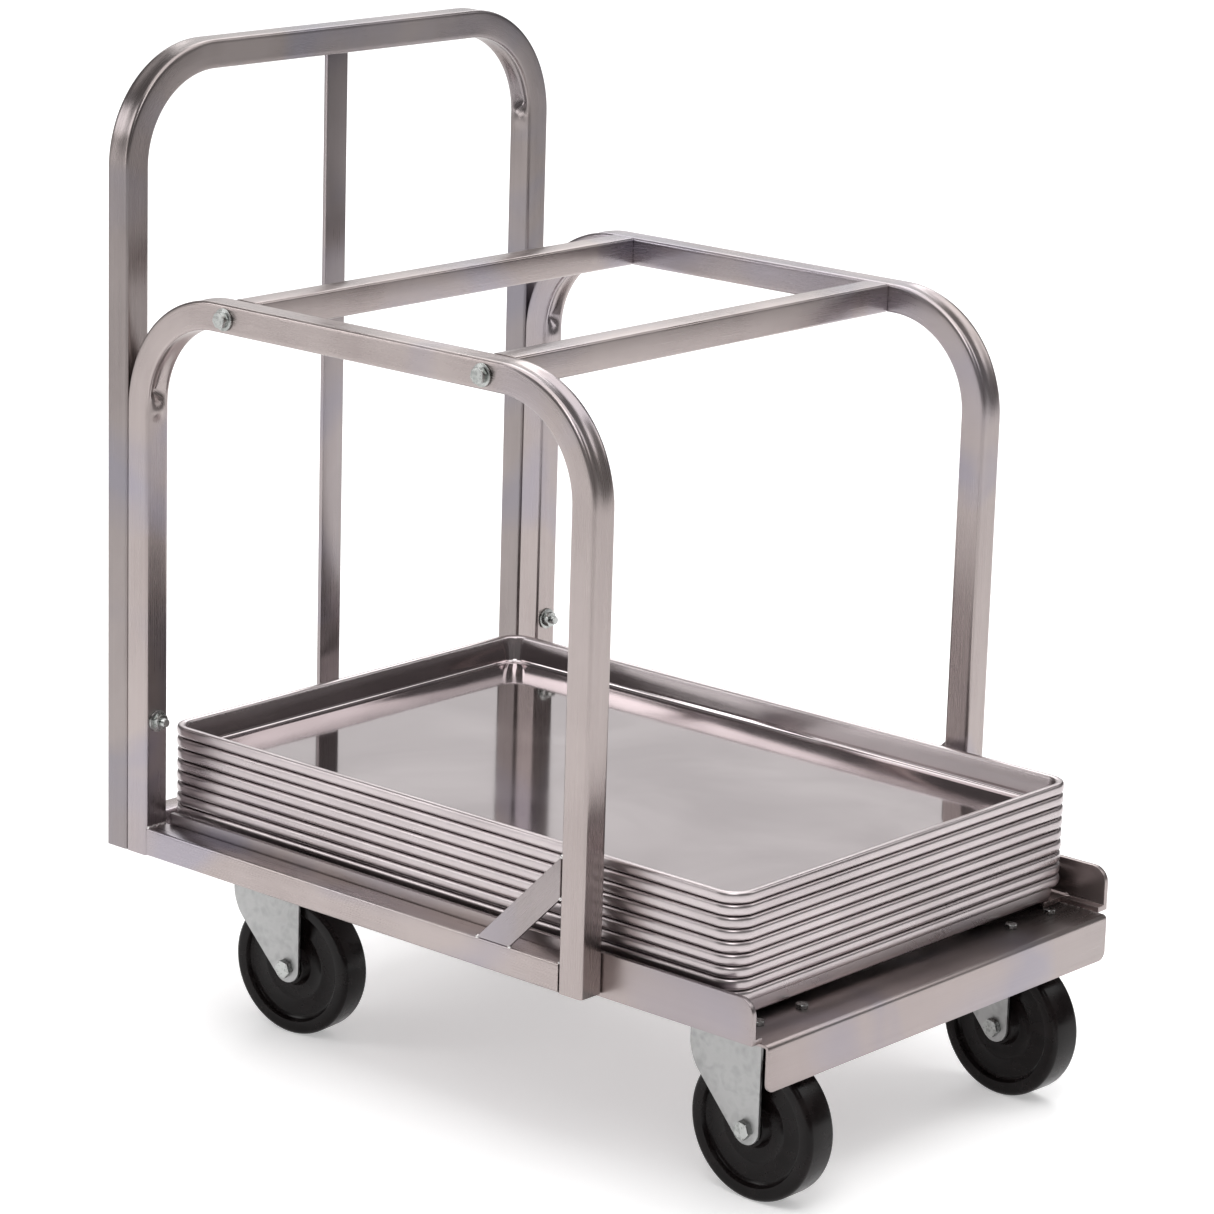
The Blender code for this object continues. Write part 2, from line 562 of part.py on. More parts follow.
def build_caster(parent, name, front, side, turn):
    swivel_x = CASTER_FRONT if front else CASTER_REAR
    swivel = add_empty(f"caster_{name}_swivel", (swivel_x, side * CASTER_SIDE, 0.0), parent, turn)
    prefix = f"caster_{name}_"
    race_bottom = CROWN_TOP + GAP
    race_top = race_bottom + RACE_HEIGHT
    bore = KINGPIN_RADIUS + HOLE_CLEARANCE

    # plate, which stays square to the rack, with the upper ball race formed under it
    outline = rounded_rectangle(CASTER_PLATE_LENGTH / 2, CASTER_PLATE_WIDTH / 2,
                                CASTER_PLATE_CORNER, 5)
    sides = len(outline)
    levels = [(circle(bore, sides), race_top + CASTER_PLATE_SHEET),
              (outline, race_top + CASTER_PLATE_SHEET), (outline, race_top),
              (circle(RACE_RADIUS, sides), race_top),
              (circle(RACE_RADIUS, sides), race_bottom + RACE_HEIGHT / 3),
              (circle(RACE_RADIUS - RACE_HEIGHT / 3, sides), race_bottom),
              (circle(bore, sides), race_bottom)]
    bm = skin([[(x, y, z) for x, y in ring] for ring, z in levels], closed=True)
    plate = add_empty(f"caster_{name}_base", (swivel_x, side * CASTER_SIDE, 0.0), parent)
    add_object(prefix + "plate", bm, ZINC_STEEL, plate)

    # fork: a folded sheet, open below the crown, with holes for the kingpin and the axle
    axle = (CASTER_OFFSET, 0.0, WHEEL_RADIUS)
    fork = add_object(prefix + "fork", extrude(fork_outline(), -FORK_OUTER, FORK_OUTER, along_y),
                      ZINC_STEEL, swivel, axle)
    crown_underside = CROWN_TOP - FORK_SHEET - WHEEL_RADIUS
    reach = 2 * WHEEL_RADIUS
    slot = [(-reach, -reach), (reach, -reach), (reach, crown_underside),
            (-reach, crown_underside)]
    cut(fork, prefix + "fork_slot", extrude(slot, -FORK_INNER, FORK_INNER, along_y))
    cut_round_hole(fork, prefix + "crown_hole", bore, (-CASTER_OFFSET, 0.0),
                   crown_underside - CUTTER_OVERRUN, CROWN_TOP - WHEEL_RADIUS + CUTTER_OVERRUN,
                   along_z)
    cut_round_hole(fork, prefix + "axle_hole", AXLE_RADIUS + HOLE_CLEARANCE, (0.0, 0.0),
                   -FORK_OUTER - CUTTER_OVERRUN, FORK_OUTER + CUTTER_OVERRUN, along_y)

    # kingpin, its head under the crown and its end peened inside the plate
    head_top = CROWN_TOP - FORK_SHEET - GAP
    levels = [(KINGPIN_HEAD_RADIUS * 0.8, head_top - KINGPIN_HEAD_HEIGHT),
              (KINGPIN_HEAD_RADIUS, head_top - KINGPIN_HEAD_HEIGHT * 0.6),
              (KINGPIN_HEAD_RADIUS, head_top), (KINGPIN_RADIUS, head_top),
              (KINGPIN_RADIUS, CASTER_HEIGHT - GAP)]
    rings = [[(x, y, z) for x, y in circle(radius, 12)] for radius, z in levels]
    add_object(prefix + "kingpin", skin(rings), ZINC_STEEL, swivel)

    # axle bolt with its nut, and the bushing that the wheel turns on
    shank, head = circle(AXLE_RADIUS, 12, phase=0.0), hexagon(AXLE_HEX)
    face, height = FORK_OUTER + GAP, AXLE_HEX * 0.42
    levels = [(-face - height, head), (-face, head), (-face, shank), (face, shank),
              (face, head), (face + height, head), (face + height, shank),
              (face + height * 1.5, shank)]
    rings = [[(u, w, v) for u, v in ring] for w, ring in levels]
    add_object(prefix + "axle_bolt", skin(rings), ZINC_STEEL, swivel, axle, smooth=False)
    half = FORK_INNER - GAP
    levels = [(AXLE_RADIUS + HOLE_CLEARANCE, -half), (BUSHING_RADIUS, -half),
              (BUSHING_RADIUS, half), (AXLE_RADIUS + HOLE_CLEARANCE, half)]
    rings = [[(u, w, v) for u, v in circle(radius, 16)] for radius, w in levels]
    add_object(prefix + "bushing", skin(rings, closed=True), ZINC_STEEL, swivel, axle)

    # wheel: tread ring, recessed web and a hub that turns on the bushing
    rim_inner = WHEEL_CORNER_RADIUS - WHEEL_RIM
    tread_half, web_half = WHEEL_WIDTH / 2, WHEEL_WIDTH / 2 - WHEEL_RECESS
    hub_half = FORK_INNER - 3 * GAP
    side_profile = [(WHEEL_CORNER_RADIUS, tread_half - WHEEL_EDGE),
                    (WHEEL_CORNER_RADIUS - WHEEL_EDGE * 0.30, tread_half - WHEEL_EDGE * 0.30),
                    (WHEEL_CORNER_RADIUS - WHEEL_EDGE, tread_half),
                    (rim_inner, tread_half),
                    (rim_inner - WHEEL_RECESS / 2, web_half),
                    (WHEEL_HUB_RADIUS + WHEEL_RECESS / 2, web_half),
                    (WHEEL_HUB_RADIUS, hub_half),
                    (BUSHING_RADIUS + HOLE_CLEARANCE, hub_half)]
    profile = [(r, -w) for r, w in side_profile] + [(r, w) for r, w in reversed(side_profile)]
    rings = [[(u, w, v) for u, v in circle(radius, WHEEL_SIDES)] for radius, w in profile]
    add_object(prefix + "wheel", skin(rings, closed=True), BLACK_RUBBER, swivel, axle)


# ---------------------------------------------------------------- the whole rack
def build():
    for obj in list(bpy.data.objects):
        bpy.data.objects.remove(obj, do_unlink=True)
    rack = add_empty("rack", Vector((-MIDDLE, 0.0, 0.0)))
    build_handle(rack)
    for side_name, side in SIDES.items():
        build_side_hoop(rack, side_name, side)
        build_brace(rack, side_name, side)
        build_side_angle(rack, side_name, side)
    build_cross_bar(rack, "rear", CROSS_BAR_REAR)
    build_cross_bar(rack, "front", CROSS_BAR_FRONT)
    build_decks(rack)
    build_bolts(rack)
    build_pans(rack)
    for name, (front, side, turn) in CASTERS.items():
        build_caster(rack, name, front, side, turn)


build()
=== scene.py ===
# %% [markdown]
# # A sheet pan rack in aluminium
#
# The rack is a low bakery truck: a tall push handle, two side hoops with cross bars between them,
# a deck on four swivel casters, and nine sheet pans nested on it. We take a finished mechanical
# model as a fixed frame and make the fine surface of every piece around it. Each piece starts as a
# primitive, is shaped in edit mode, and is put on the body that it moves with.

# %% Load the mechanical frame
import json
import math
import random

import bmesh
import bpy
from mathutils import Matrix, Vector


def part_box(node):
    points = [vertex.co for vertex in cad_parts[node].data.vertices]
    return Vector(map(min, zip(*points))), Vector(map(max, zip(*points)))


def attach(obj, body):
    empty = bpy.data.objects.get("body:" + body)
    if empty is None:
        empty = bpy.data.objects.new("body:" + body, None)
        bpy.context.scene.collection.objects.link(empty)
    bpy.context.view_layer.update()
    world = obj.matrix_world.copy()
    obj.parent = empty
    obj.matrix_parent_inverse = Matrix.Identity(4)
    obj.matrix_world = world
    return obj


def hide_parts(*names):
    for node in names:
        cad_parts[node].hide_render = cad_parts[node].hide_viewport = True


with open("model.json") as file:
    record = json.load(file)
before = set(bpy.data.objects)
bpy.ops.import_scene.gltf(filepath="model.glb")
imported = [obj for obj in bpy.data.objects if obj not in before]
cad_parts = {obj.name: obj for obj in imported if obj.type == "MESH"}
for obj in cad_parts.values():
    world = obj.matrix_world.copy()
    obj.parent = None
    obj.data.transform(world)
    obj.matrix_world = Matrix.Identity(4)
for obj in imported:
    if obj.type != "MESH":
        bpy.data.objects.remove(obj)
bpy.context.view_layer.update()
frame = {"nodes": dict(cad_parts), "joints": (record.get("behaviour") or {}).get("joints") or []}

joints = {joint["name"]: joint for joint in frame["joints"]}

# %% [markdown]
# ## Sizes
#
# Places come from the boxes of the frame's own nodes, so the fine pieces land on the mechanical
# ones without fitting. Only what a box can't tell, such as a wall or a bend radius, is named here.

# %% Sizes
MM = 0.001
hoop_low, hoop_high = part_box("side_hoop_right")
handle_low, handle_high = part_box("handle_hoop")
TUBE = hoop_high.y - hoop_low.y
TUBE_WALL = 3.0 * MM
TUBE_CORNER = 2.6 * MM
BEND_RADIUS = 104.5 * MM
SIDES = {"right": -1, "left": 1}
UP = (0.0, 0.0, 1.0)
CASTERS = ("front_right", "front_left", "rear_right", "rear_left")
print("tube", round(TUBE / MM, 2), "mm, hoops", round((hoop_high.x - hoop_low.x) / MM, 1), "mm long")

# %% [markdown]
# ## Camera
#
# The view is a long lens from the front right corner, a little above the rack. The camera is turned
# in three steps: about the vertical, then down, then a small roll about its own line of sight.

# %% Camera
CAMERA_PLACE = (2.3934, -2.7840, 1.3808)
CAMERA_TURN = math.radians(42.051)
CAMERA_DOWN = math.radians(14.307)
CAMERA_ROLL = math.radians(1.430)

bpy.ops.object.select_all(action="DESELECT")
bpy.ops.object.camera_add()
camera = bpy.context.object
camera.name = "camera"
camera.matrix_world = (Matrix.Translation(CAMERA_PLACE)
                       @ Matrix.Rotation(CAMERA_TURN, 4, "Z")
                       @ Matrix.Rotation(math.pi / 2 - CAMERA_DOWN, 4, "X")
                       @ Matrix.Rotation(CAMERA_ROLL, 4, "Z"))
camera.data.sensor_width = 36.0
camera.data.lens = 129.46
camera.data.shift_x = 0.0684
camera.data.shift_y = -0.0383
camera.data.clip_end = 100.0
bpy.context.scene.camera = camera
print("camera lens", camera.data.lens, "mm")

# %% [markdown]
# ## Helpers for edit mode
#
# Operators act on whatever is selected, so we always start from an empty selection. The helpers
# below add a primitive, pick faces or edges by a test on their place, and apply a modifier.


# %% Helpers for edit mode
def only(piece):
    """Make one object the selected and the active one."""
    bpy.ops.object.select_all(action="DESELECT")
    piece.select_set(True)
    bpy.context.view_layer.objects.active = piece


def settle(name):
    """Name the new primitive and move its place, turn and size into its mesh."""
    piece = bpy.context.object
    piece.name = name
    piece.data.name = name
    only(piece)
    bpy.ops.object.transform_apply(location=True, rotation=True, scale=True)
    return piece


def add_block(name, low, high, turn=(0.0, 0.0, 0.0)):
    """A box between two corners, turned about its middle."""
    low, high = Vector(low), Vector(high)
    bpy.ops.object.select_all(action="DESELECT")
    bpy.ops.mesh.primitive_cube_add(size=1.0, location=(low + high) / 2, rotation=turn,
                                    scale=high - low)
    return settle(name)


def add_round(name, radius, start, end, center=(0.0, 0.0), sides=32, axis="Z"):
    """A cylinder along one axis from start to end; center is in the plane across that axis."""
    middle = (start + end) / 2
    place = {"X": (middle, center[0], center[1]), "Y": (center[0], middle, center[1]),
             "Z": (center[0], center[1], middle)}[axis]
    turn = {"X": (0.0, math.pi / 2, 0.0), "Y": (math.pi / 2, 0.0, 0.0), "Z": (0.0, 0.0, 0.0)}[axis]
    bpy.ops.object.select_all(action="DESELECT")
    bpy.ops.mesh.primitive_cylinder_add(vertices=sides, radius=radius, depth=abs(end - start),
                                        location=place, rotation=turn)
    return settle(name)


def edit(piece, kind="FACE"):
    """Open a piece in edit mode with nothing selected."""
    only(piece)
    bpy.ops.object.mode_set(mode="EDIT")
    bpy.ops.mesh.select_mode(type=kind)
    bpy.ops.mesh.select_all(action="DESELECT")


def pick(kind, test):
    """In edit mode, select the faces, edges or vertices that pass a test, and nothing else."""
    bpy.ops.mesh.select_mode(type=kind)
    bpy.ops.mesh.select_all(action="DESELECT")
    mesh = bpy.context.object.data
    bm = bmesh.from_edit_mesh(mesh)
    bm.normal_update()
    for item in {"FACE": bm.faces, "EDGE": bm.edges, "VERT": bm.verts}[kind]:
        if test(item):
            item.select_set(True)
    bm.select_flush_mode()
    bmesh.update_edit_mesh(mesh)


def object_mode():
    bpy.ops.object.mode_set(mode="OBJECT")


def pick_all():
    bpy.ops.mesh.select_all(action="SELECT")


def round_off(width, segments):
    """Bevel the edges that are selected."""
    bpy.ops.mesh.bevel(offset=width, segments=segments)


def cut_across(place, normal, **settings):
    """Cut everything with a plane."""
    pick_all()
    bpy.ops.mesh.bisect(plane_co=place, plane_no=normal, **settings)


def discard(piece):
    bpy.data.objects.remove(piece, do_unlink=True)


def turn_by(angle, axis):
    return Matrix.Rotation(angle, 4, axis)


def middle_of(edge):
    return (edge.verts[0].co + edge.verts[1].co) / 2


def runs_along(edge, axis):
    """True for an edge that is parallel to an axis, 0 for X, 1 for Y and 2 for Z."""
    run = edge.verts[1].co - edge.verts[0].co
    return abs(run[axis]) > 0.999 * run.length


def near(value, target, slack=0.05 * MM):
    return abs(value - target) < slack


def modify(piece, kind, **settings):
    """Add a modifier, set it and apply it."""
    only(piece)
    modifier = piece.modifiers.new(kind.lower(), kind)
    for key, value in settings.items():
        setattr(modifier, key, value)
    bpy.ops.object.modifier_apply(modifier=modifier.name)


def soften(piece, width, segments=2, angle=28.0):
    """Break every sharp edge with a small bevel and shade the piece smooth."""
    modify(piece, "BEVEL", width=width, segments=segments, limit_method="ANGLE",
           angle_limit=math.radians(angle), harden_normals=False, miter_outer="MITER_ARC")
    smooth(piece)


def smooth(piece, angle=32.0):
    only(piece)
    bpy.ops.object.shade_smooth_by_angle(angle=math.radians(angle))


def combine(target, tool, operation):
    """Boolean one piece with another and remove the tool."""
    modify(target, "BOOLEAN", object=tool, operation=operation, solver="EXACT")
    discard(tool)


def join(pieces, name):
    """Join several meshes into one object."""
    only(pieces[0])
    for piece in pieces[1:]:
        piece.select_set(True)
    bpy.ops.object.join()
    joined = bpy.context.object
    joined.name = name
    joined.data.name = name
    return joined


def copy_of(piece, name, place=Matrix.Identity(4)):
    """A copy with its own mesh, its place written into the mesh."""
    twin = piece.copy()
    twin.data = piece.data.copy()
    twin.name = name
    twin.data.name = name
    bpy.context.scene.collection.objects.link(twin)
    twin.data.transform(place)
    return twin


# %% [markdown]
# ## Grain coordinates
#
# Drawn and rolled aluminium has a fine grain that runs along the piece. To let the grain follow a
# piece, also round a bend, each mesh gets a UV map called grain: its first number is the distance
# along the piece in metres, the second the distance around or across it.


# %% Grain coordinates
def lay_grain(piece, along, across):
    """Write the grain map from two functions of a point."""
    layer = piece.data.uv_layers.new(name="grain")
    vertices = piece.data.vertices
    for loop in piece.data.loops:
        point = vertices[loop.vertex_index].co
        layer.data[loop.index].uv = (along(point), across(point))


def lay_straight_grain(piece, axis):
    """Grain along one axis; the two others together run round the piece."""
    others = [i for i in range(3) if i != axis]
    lay_grain(piece, lambda p: p[axis], lambda p: p[others[0]] + p[others[1]])


# %% [markdown]
# ## Finishes
#
# Every finish is one Principled BSDF. Its metal is set on the socket itself, and noise textures
# drive what really varies on the surface: the tone, the roughness and a very small bump.


# %% Node helpers
def new_finish(name, metallic, color, roughness, **sockets):
    """A material with a Principled BSDF whose plain values are set on its sockets."""
    material = bpy.data.materials.new(name)
    material.use_nodes = True
    shader = material.node_tree.nodes["Principled BSDF"]
    shader.inputs["Metallic"].default_value = metallic
    shader.inputs["Base Color"].default_value = (*color, 1.0)
    shader.inputs["Roughness"].default_value = roughness
    for key, value in sockets.items():
        shader.inputs[key.replace("_", " ")].default_value = value
    material.diffuse_color = (*color, 1.0)
    return material, shader


def connect(material, value, node, socket):
    material.node_tree.links.new(value, node.inputs[socket])


def add_node(material, kind, **settings):
    node = material.node_tree.nodes.new(kind)
    for key, value in settings.items():
        setattr(node, key, value)
    return node


def pattern_space(material, scale, grain=False):
    """Coordinates for a texture, stretched by scale: the object's own, or its grain map."""
    if grain:
        source = add_node(material, "ShaderNodeUVMap", uv_map="grain").outputs["UV"]
    else:
        source = add_node(material, "ShaderNodeTexCoord").outputs["Object"]
    mapping = add_node(material, "ShaderNodeMapping")
    mapping.inputs["Scale"].default_value = scale
    connect(material, source, mapping, "Vector")
    return mapping.outputs["Vector"]


def add_noise(material, scale, detail=3.0, grain=False, distortion=0.0):
    noise_node = add_node(material, "ShaderNodeTexNoise")
    noise_node.inputs["Scale"].default_value = 1.0
    noise_node.inputs["Detail"].default_value = detail
    noise_node.inputs["Distortion"].default_value = distortion
    connect(material, pattern_space(material, scale, grain), noise_node, "Vector")
    return noise_node.outputs["Fac"]


def add_range(material, value, low, high, start=0.3, end=0.7):
    """Map a pattern's start..end onto low..high."""
    node = add_node(material, "ShaderNodeMapRange")
    for key, number in (("From Min", start), ("From Max", end), ("To Min", low), ("To Max", high)):
        node.inputs[key].default_value = number
    connect(material, value, node, "Value")
    return node.outputs["Result"]


def add_ramp(material, value, stops):
    """A colour ramp with (position, colour) stops."""
    node = add_node(material, "ShaderNodeValToRGB")
    elements = node.color_ramp.elements
    while len(elements) < len(stops):
        elements.new(0.5)
    for element, (position, color) in zip(elements, stops):
        element.position = position
        element.color = (*color, 1.0)
    connect(material, value, node, "Fac")
    return node.outputs["Color"]


def add_math(material, operation, first, second):
    node = add_node(material, "ShaderNodeMath", operation=operation)
    for socket, value in zip(node.inputs, (first, second)):
        if isinstance(value, (int, float)):
            socket.default_value = value
        else:
            material.node_tree.links.new(value, socket)
    return node.outputs["Value"]


def add_bump(material, shader, height, distance, strength=1.0):
    node = add_node(material, "ShaderNodeBump")
    node.inputs["Distance"].default_value = distance
    node.inputs["Strength"].default_value = strength
    connect(material, height, node, "Height")
    connect(material, node.outputs["Normal"], shader, "Normal")


# %% [markdown]
# ### Aluminium tube, bar and plate
#
# Mill-finish aluminium is a warm, slightly pink grey with a soft sheen. The handle gets a darker copy
# of the tube's finish: painted shade for the dim reflections on its faces.
# The die leaves hair lines along it, and handling leaves cloudy patches where the sheen changes. A
# stretched noise on the grain map makes the lines, and two large, round noises make the clouds.


# %% Aluminium tube, bar and plate
def mill_aluminium(name, dark, light, cool, roughness):
    material, shader = new_finish(name, 1.0, light, roughness)
    clouds = add_noise(material, (9.0, 9.0, 5.0), detail=4.0, distortion=0.4)
    bloom = add_noise(material, (5.0, 6.0, 7.0), detail=2.0, distortion=0.8)
    hair = add_noise(material, (7.0, 1500.0, 1.0), detail=4.0, grain=True)
    streaks = add_noise(material, (2.5, 170.0, 1.0), detail=2.0, grain=True)
    tone = add_math(material, "ADD", add_math(material, "MULTIPLY", clouds, 0.86),
                    add_math(material, "MULTIPLY", streaks, 0.14))
    warm = add_ramp(material, tone, ((0.36, dark), (0.60, light)))
    mix = add_node(material, "ShaderNodeMix", data_type="RGBA")
    mix.inputs["B"].default_value = (*cool, 1.0)
    connect(material, add_range(material, bloom, 0.0, 0.8, 0.52, 0.70), mix, "Factor")
    connect(material, warm, mix, "A")
    connect(material, mix.outputs["Result"], shader, "Base Color")
    sheen = add_math(material, "ADD", add_range(material, clouds, roughness - 0.05, roughness + 0.06),
                     add_range(material, hair, -0.04, 0.05))
    connect(material, sheen, shader, "Roughness")
    relief = add_math(material, "ADD", hair, streaks)
    add_bump(material, shader, relief, 0.010 * MM, 0.7)
    return material


tube_aluminium = mill_aluminium("tube_aluminium", (0.33, 0.285, 0.277), (0.395, 0.345, 0.335),
                                (0.31, 0.29, 0.335), 0.28)
bar_aluminium = mill_aluminium("bar_aluminium", (0.28, 0.25, 0.25), (0.35, 0.31, 0.31),
                               (0.28, 0.265, 0.31), 0.30)
plate_aluminium = mill_aluminium("plate_aluminium", (0.315, 0.272, 0.265), (0.37, 0.32, 0.313),
                                 (0.30, 0.28, 0.32), 0.32)
# The handle's finish is the tube's aluminium made darker: painted shade, not a different metal.
handle_aluminium = mill_aluminium("handle_aluminium", (0.235, 0.205, 0.20), (0.30, 0.265, 0.258),
                                  (0.23, 0.218, 0.25), 0.30)
print("mill finishes:", tube_aluminium.name, bar_aluminium.name, plate_aluminium.name)

# %% [markdown]
# ### Pan aluminium
#
# A new sheet pan is bright rolled sheet, close to a mirror on its flat floor. Rolling lines run
# along the pan, and stacking leaves a few fine scuffs.


# %% Pan aluminium
def rolled_sheet(name):
    material, shader = new_finish(name, 1.0, (0.56, 0.53, 0.53), 0.12)
    clouds = add_noise(material, (6.0, 6.0, 20.0), detail=3.0, distortion=0.5)
    lines = add_noise(material, (4.0, 1100.0, 1.0), detail=3.0, grain=True)
    waves = add_noise(material, (5.0, 8.0, 8.0), detail=1.0)
    scuffs = add_noise(material, (22.0, 22.0, 60.0), detail=2.0)
    handling = add_node(material, "ShaderNodeUVMap", uv_map="handling").outputs["UV"]
    split = add_node(material, "ShaderNodeSeparateXYZ")
    connect(material, handling, split, "Vector")
    outside = split.outputs["X"]
    tone = add_math(material, "SUBTRACT", clouds,
                    add_math(material, "MULTIPLY", outside,
                             add_range(material, scuffs, 0.0, 0.03, 0.40, 0.65)))
    connect(material, add_ramp(material, tone, ((0.34, (0.43, 0.385, 0.39)),
                                                (0.62, (0.52, 0.47, 0.475)))), shader, "Base Color")
    polished = add_math(material, "ADD", add_range(material, clouds, 0.05, 0.09),
                        add_range(material, lines, -0.01, 0.03))
    handled = add_range(material, scuffs, 0.20, 0.24)
    sheen = add_math(material, "ADD", polished,
                     add_math(material, "MULTIPLY", outside, handled))
    connect(material, sheen, shader, "Roughness")
    relief = add_math(material, "ADD", add_math(material, "MULTIPLY", lines, 0.02), waves)
    add_bump(material, shader, relief, 0.10 * MM, 0.5)
    return material


pan_aluminium = rolled_sheet("pan_aluminium")
print("pan finish:", pan_aluminium.name)

# %% [markdown]
# ### Zinc on steel
#
# Galvanised casters and bolts are cooler in tone than the aluminium. The forks show a mottled,
# cloudy crystal pattern; the bolts are brighter and smoother.


# %% Zinc on steel
def zinc_plate(name, dark, light, roughness, crystal):
    material, shader = new_finish(name, 1.0, light, roughness)
    clouds = add_noise(material, (60.0, 60.0, 60.0), detail=5.0, distortion=1.2)
    cells = add_node(material, "ShaderNodeTexVoronoi")
    cells.inputs["Scale"].default_value = crystal
    connect(material, pattern_space(material, (1.0, 1.0, 1.0)), cells, "Vector")
    tone = add_math(material, "ADD", add_math(material, "MULTIPLY", clouds, 0.8),
                    add_math(material, "MULTIPLY", cells.outputs["Distance"], 0.25))
    connect(material, add_ramp(material, tone, ((0.35, dark), (0.60, light))), shader, "Base Color")
    connect(material, add_range(material, tone, roughness - 0.08, roughness + 0.14), shader,
            "Roughness")
    add_bump(material, shader, clouds, 0.05 * MM, 0.5)
    return material


zinc_steel = zinc_plate("zinc_steel", (0.31, 0.312, 0.31), (0.44, 0.44, 0.438), 0.42, 140.0)
bolt_zinc = zinc_plate("bolt_zinc", (0.24, 0.25, 0.24), (0.44, 0.45, 0.44), 0.22, 300.0)
print("zinc finishes:", zinc_steel.name, bolt_zinc.name)

# %% [markdown]
# ### Wheel black and weld metal
#
# The wheels are moulded in one hard black material with a gloss, slightly dulled by dust. A weld
# bead is bright aluminium that froze in ripples, so it is rougher than the tube beside it.


# %% Wheel black and weld metal
def moulded_black(name):
    material, shader = new_finish(name, 0.0, (0.006, 0.004, 0.004), 0.20, Specular_IOR_Level=0.16)
    dust = add_noise(material, (55.0, 55.0, 55.0), detail=5.0)
    tone = add_ramp(material, dust, ((0.40, (0.004, 0.0025, 0.0025)), (0.75, (0.010, 0.007, 0.007))))
    connect(material, tone, shader, "Base Color")
    connect(material, add_range(material, dust, 0.16, 0.34), shader, "Roughness")
    add_bump(material, shader, dust, 0.03 * MM, 0.5)
    return material


def weld_metal(name):
    material, shader = new_finish(name, 1.0, (0.70, 0.68, 0.67), 0.32)
    spatter = add_noise(material, (500.0, 500.0, 500.0), detail=3.0)
    tone = add_ramp(material, spatter, ((0.35, (0.52, 0.50, 0.49)), (0.60, (0.76, 0.74, 0.73))))
    connect(material, tone, shader, "Base Color")
    connect(material, add_range(material, spatter, 0.22, 0.42), shader, "Roughness")
    add_bump(material, shader, spatter, 0.10 * MM, 0.6)
    return material


wheel_black = moulded_black("wheel_black")
weld_aluminium = weld_metal("weld_aluminium")
print("wheel and weld finishes:", wheel_black.name, weld_aluminium.name)


# %% Hand a piece over to the frame
def ready(piece, body, finish, slot, *nodes):
    """Give a finished piece its look and its body, and hide the CAD nodes it stands for."""
    piece.data.materials.clear()
    piece.data.materials.append(finish)
    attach(piece, body)
    if nodes:
        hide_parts(*nodes)


# %% [markdown]
# ## Bent square tubes
#
# The handle and both side hoops are one length of square tube, bent twice without a mandrel. That
# is why the bends look the way they do: the outer wall sinks between two ridges, and the inner wall
# folds into a flute that ends in a small bump where the bending die stopped.
#
# A rounded square is extruded up the leg, spun through the bend, extruded along the top, and so on.
# The short extra steps beside each bend give the flute's end enough points. The walls are then
# pushed in by a formula, and Solidify makes the wall.

# %% Bent square tubes
BEND_STEPS = 36
STEPS_BESIDE_BEND = 6
BESIDE_BEND = 18.0 * MM
HANDLE_SADDLE = 0.5 * MM     # how far the outer wall sinks
HOOP_SADDLE = 2.1 * MM
RIDGE = 0.48                 # extra rounding of the corners, as a share of how far the wall sinks
FLUTE = 5.2 * MM             # how far the inner wall sinks
PINCH = 1.6 * MM             # the flute's deepest place
BUMP = 1.9 * MM              # where the flute ends


def rise(value, start, end):
    """A smooth step from 0 at start to 1 at end."""
    t = min(max((value - start) / (end - start), 0.0), 1.0)
    return t * t * (3.0 - 2.0 * t)


def on_hoop(point, first, last, top):
    """Where a point of a hoop lies: angle through the nearer bend, and outward from the middle line.

    The angle is 0 where the leg ends and a quarter turn where the top begins, and it goes on
    beyond both ends in step with the length of the middle line.
    """
    mirrored = point.x > (first + last) / 2
    inward = last - point.x if mirrored else point.x - first
    middle_radius = BEND_RADIUS - TUBE / 2
    dx, dz = BEND_RADIUS - inward, point.z - (top - BEND_RADIUS)
    if dz <= 0.0:
        angle, radius, direction = dz / middle_radius, dx, (-1.0, 0.0)
    elif dx <= 0.0:
        angle, radius, direction = math.pi / 2 - dx / middle_radius, dz, (0.0, 1.0)
    else:
        radius = math.hypot(dx, dz)
        angle, direction = math.atan2(dz, dx), (-dx / radius, dz / radius)
    sign = -1.0 if mirrored else 1.0
    return angle, radius - middle_radius, Vector((direction[0] * sign, 0.0, direction[1])), mirrored


def crush_bends(piece, first, last, top, saddle):
    """Sink the outer and the inner wall of both bends as bending without a mandrel does."""
    for vertex in piece.data.vertices:
        angle, outward, direction, mirrored = on_hoop(vertex.co, first, last, top)
        degrees = math.degrees(angle)
        side = vertex.co.y / (TUBE / 2)
        hollow = 0.5 * (1.0 + math.cos(math.pi * min(abs(side) / 0.86, 1.0)))
        if outward > TUBE * 0.35:
            bent = rise(degrees, -4.0, 22.0) * (1.0 - rise(degrees, 68.0, 94.0))
            ridge = rise(abs(side), 0.62, 1.0)
            vertex.co -= direction * bent * saddle * (hollow + RIDGE * ridge)
        elif outward < -TUBE * 0.35:
            bent = rise(degrees, 0.0, 9.0) * (1.0 - 0.92 * rise(degrees, 14.0, 90.0))
            bump = math.exp(-((degrees + 3.4) / 3.4) ** 2)
            pinch = math.exp(-((degrees - 8.0) / 4.5) ** 2)
            vertex.co += direction * hollow * (FLUTE * bent + PINCH * pinch - BUMP * bump)
        else:
            bent = rise(degrees, 0.0, 20.0) * (1.0 - rise(degrees, 70.0, 90.0))
            bulge = 1.0 - (outward / (TUBE * 0.42)) ** 2
            vertex.co.y += math.copysign(0.35 * MM * bent * max(bulge, 0.0), side)


def spin_bend(center):
    """Spin the selected end face through a quarter turn, from up to along or from along to down."""
    bpy.ops.mesh.spin(steps=BEND_STEPS, angle=-math.pi / 2, center=center, axis=(0.0, 1.0, 0.0))


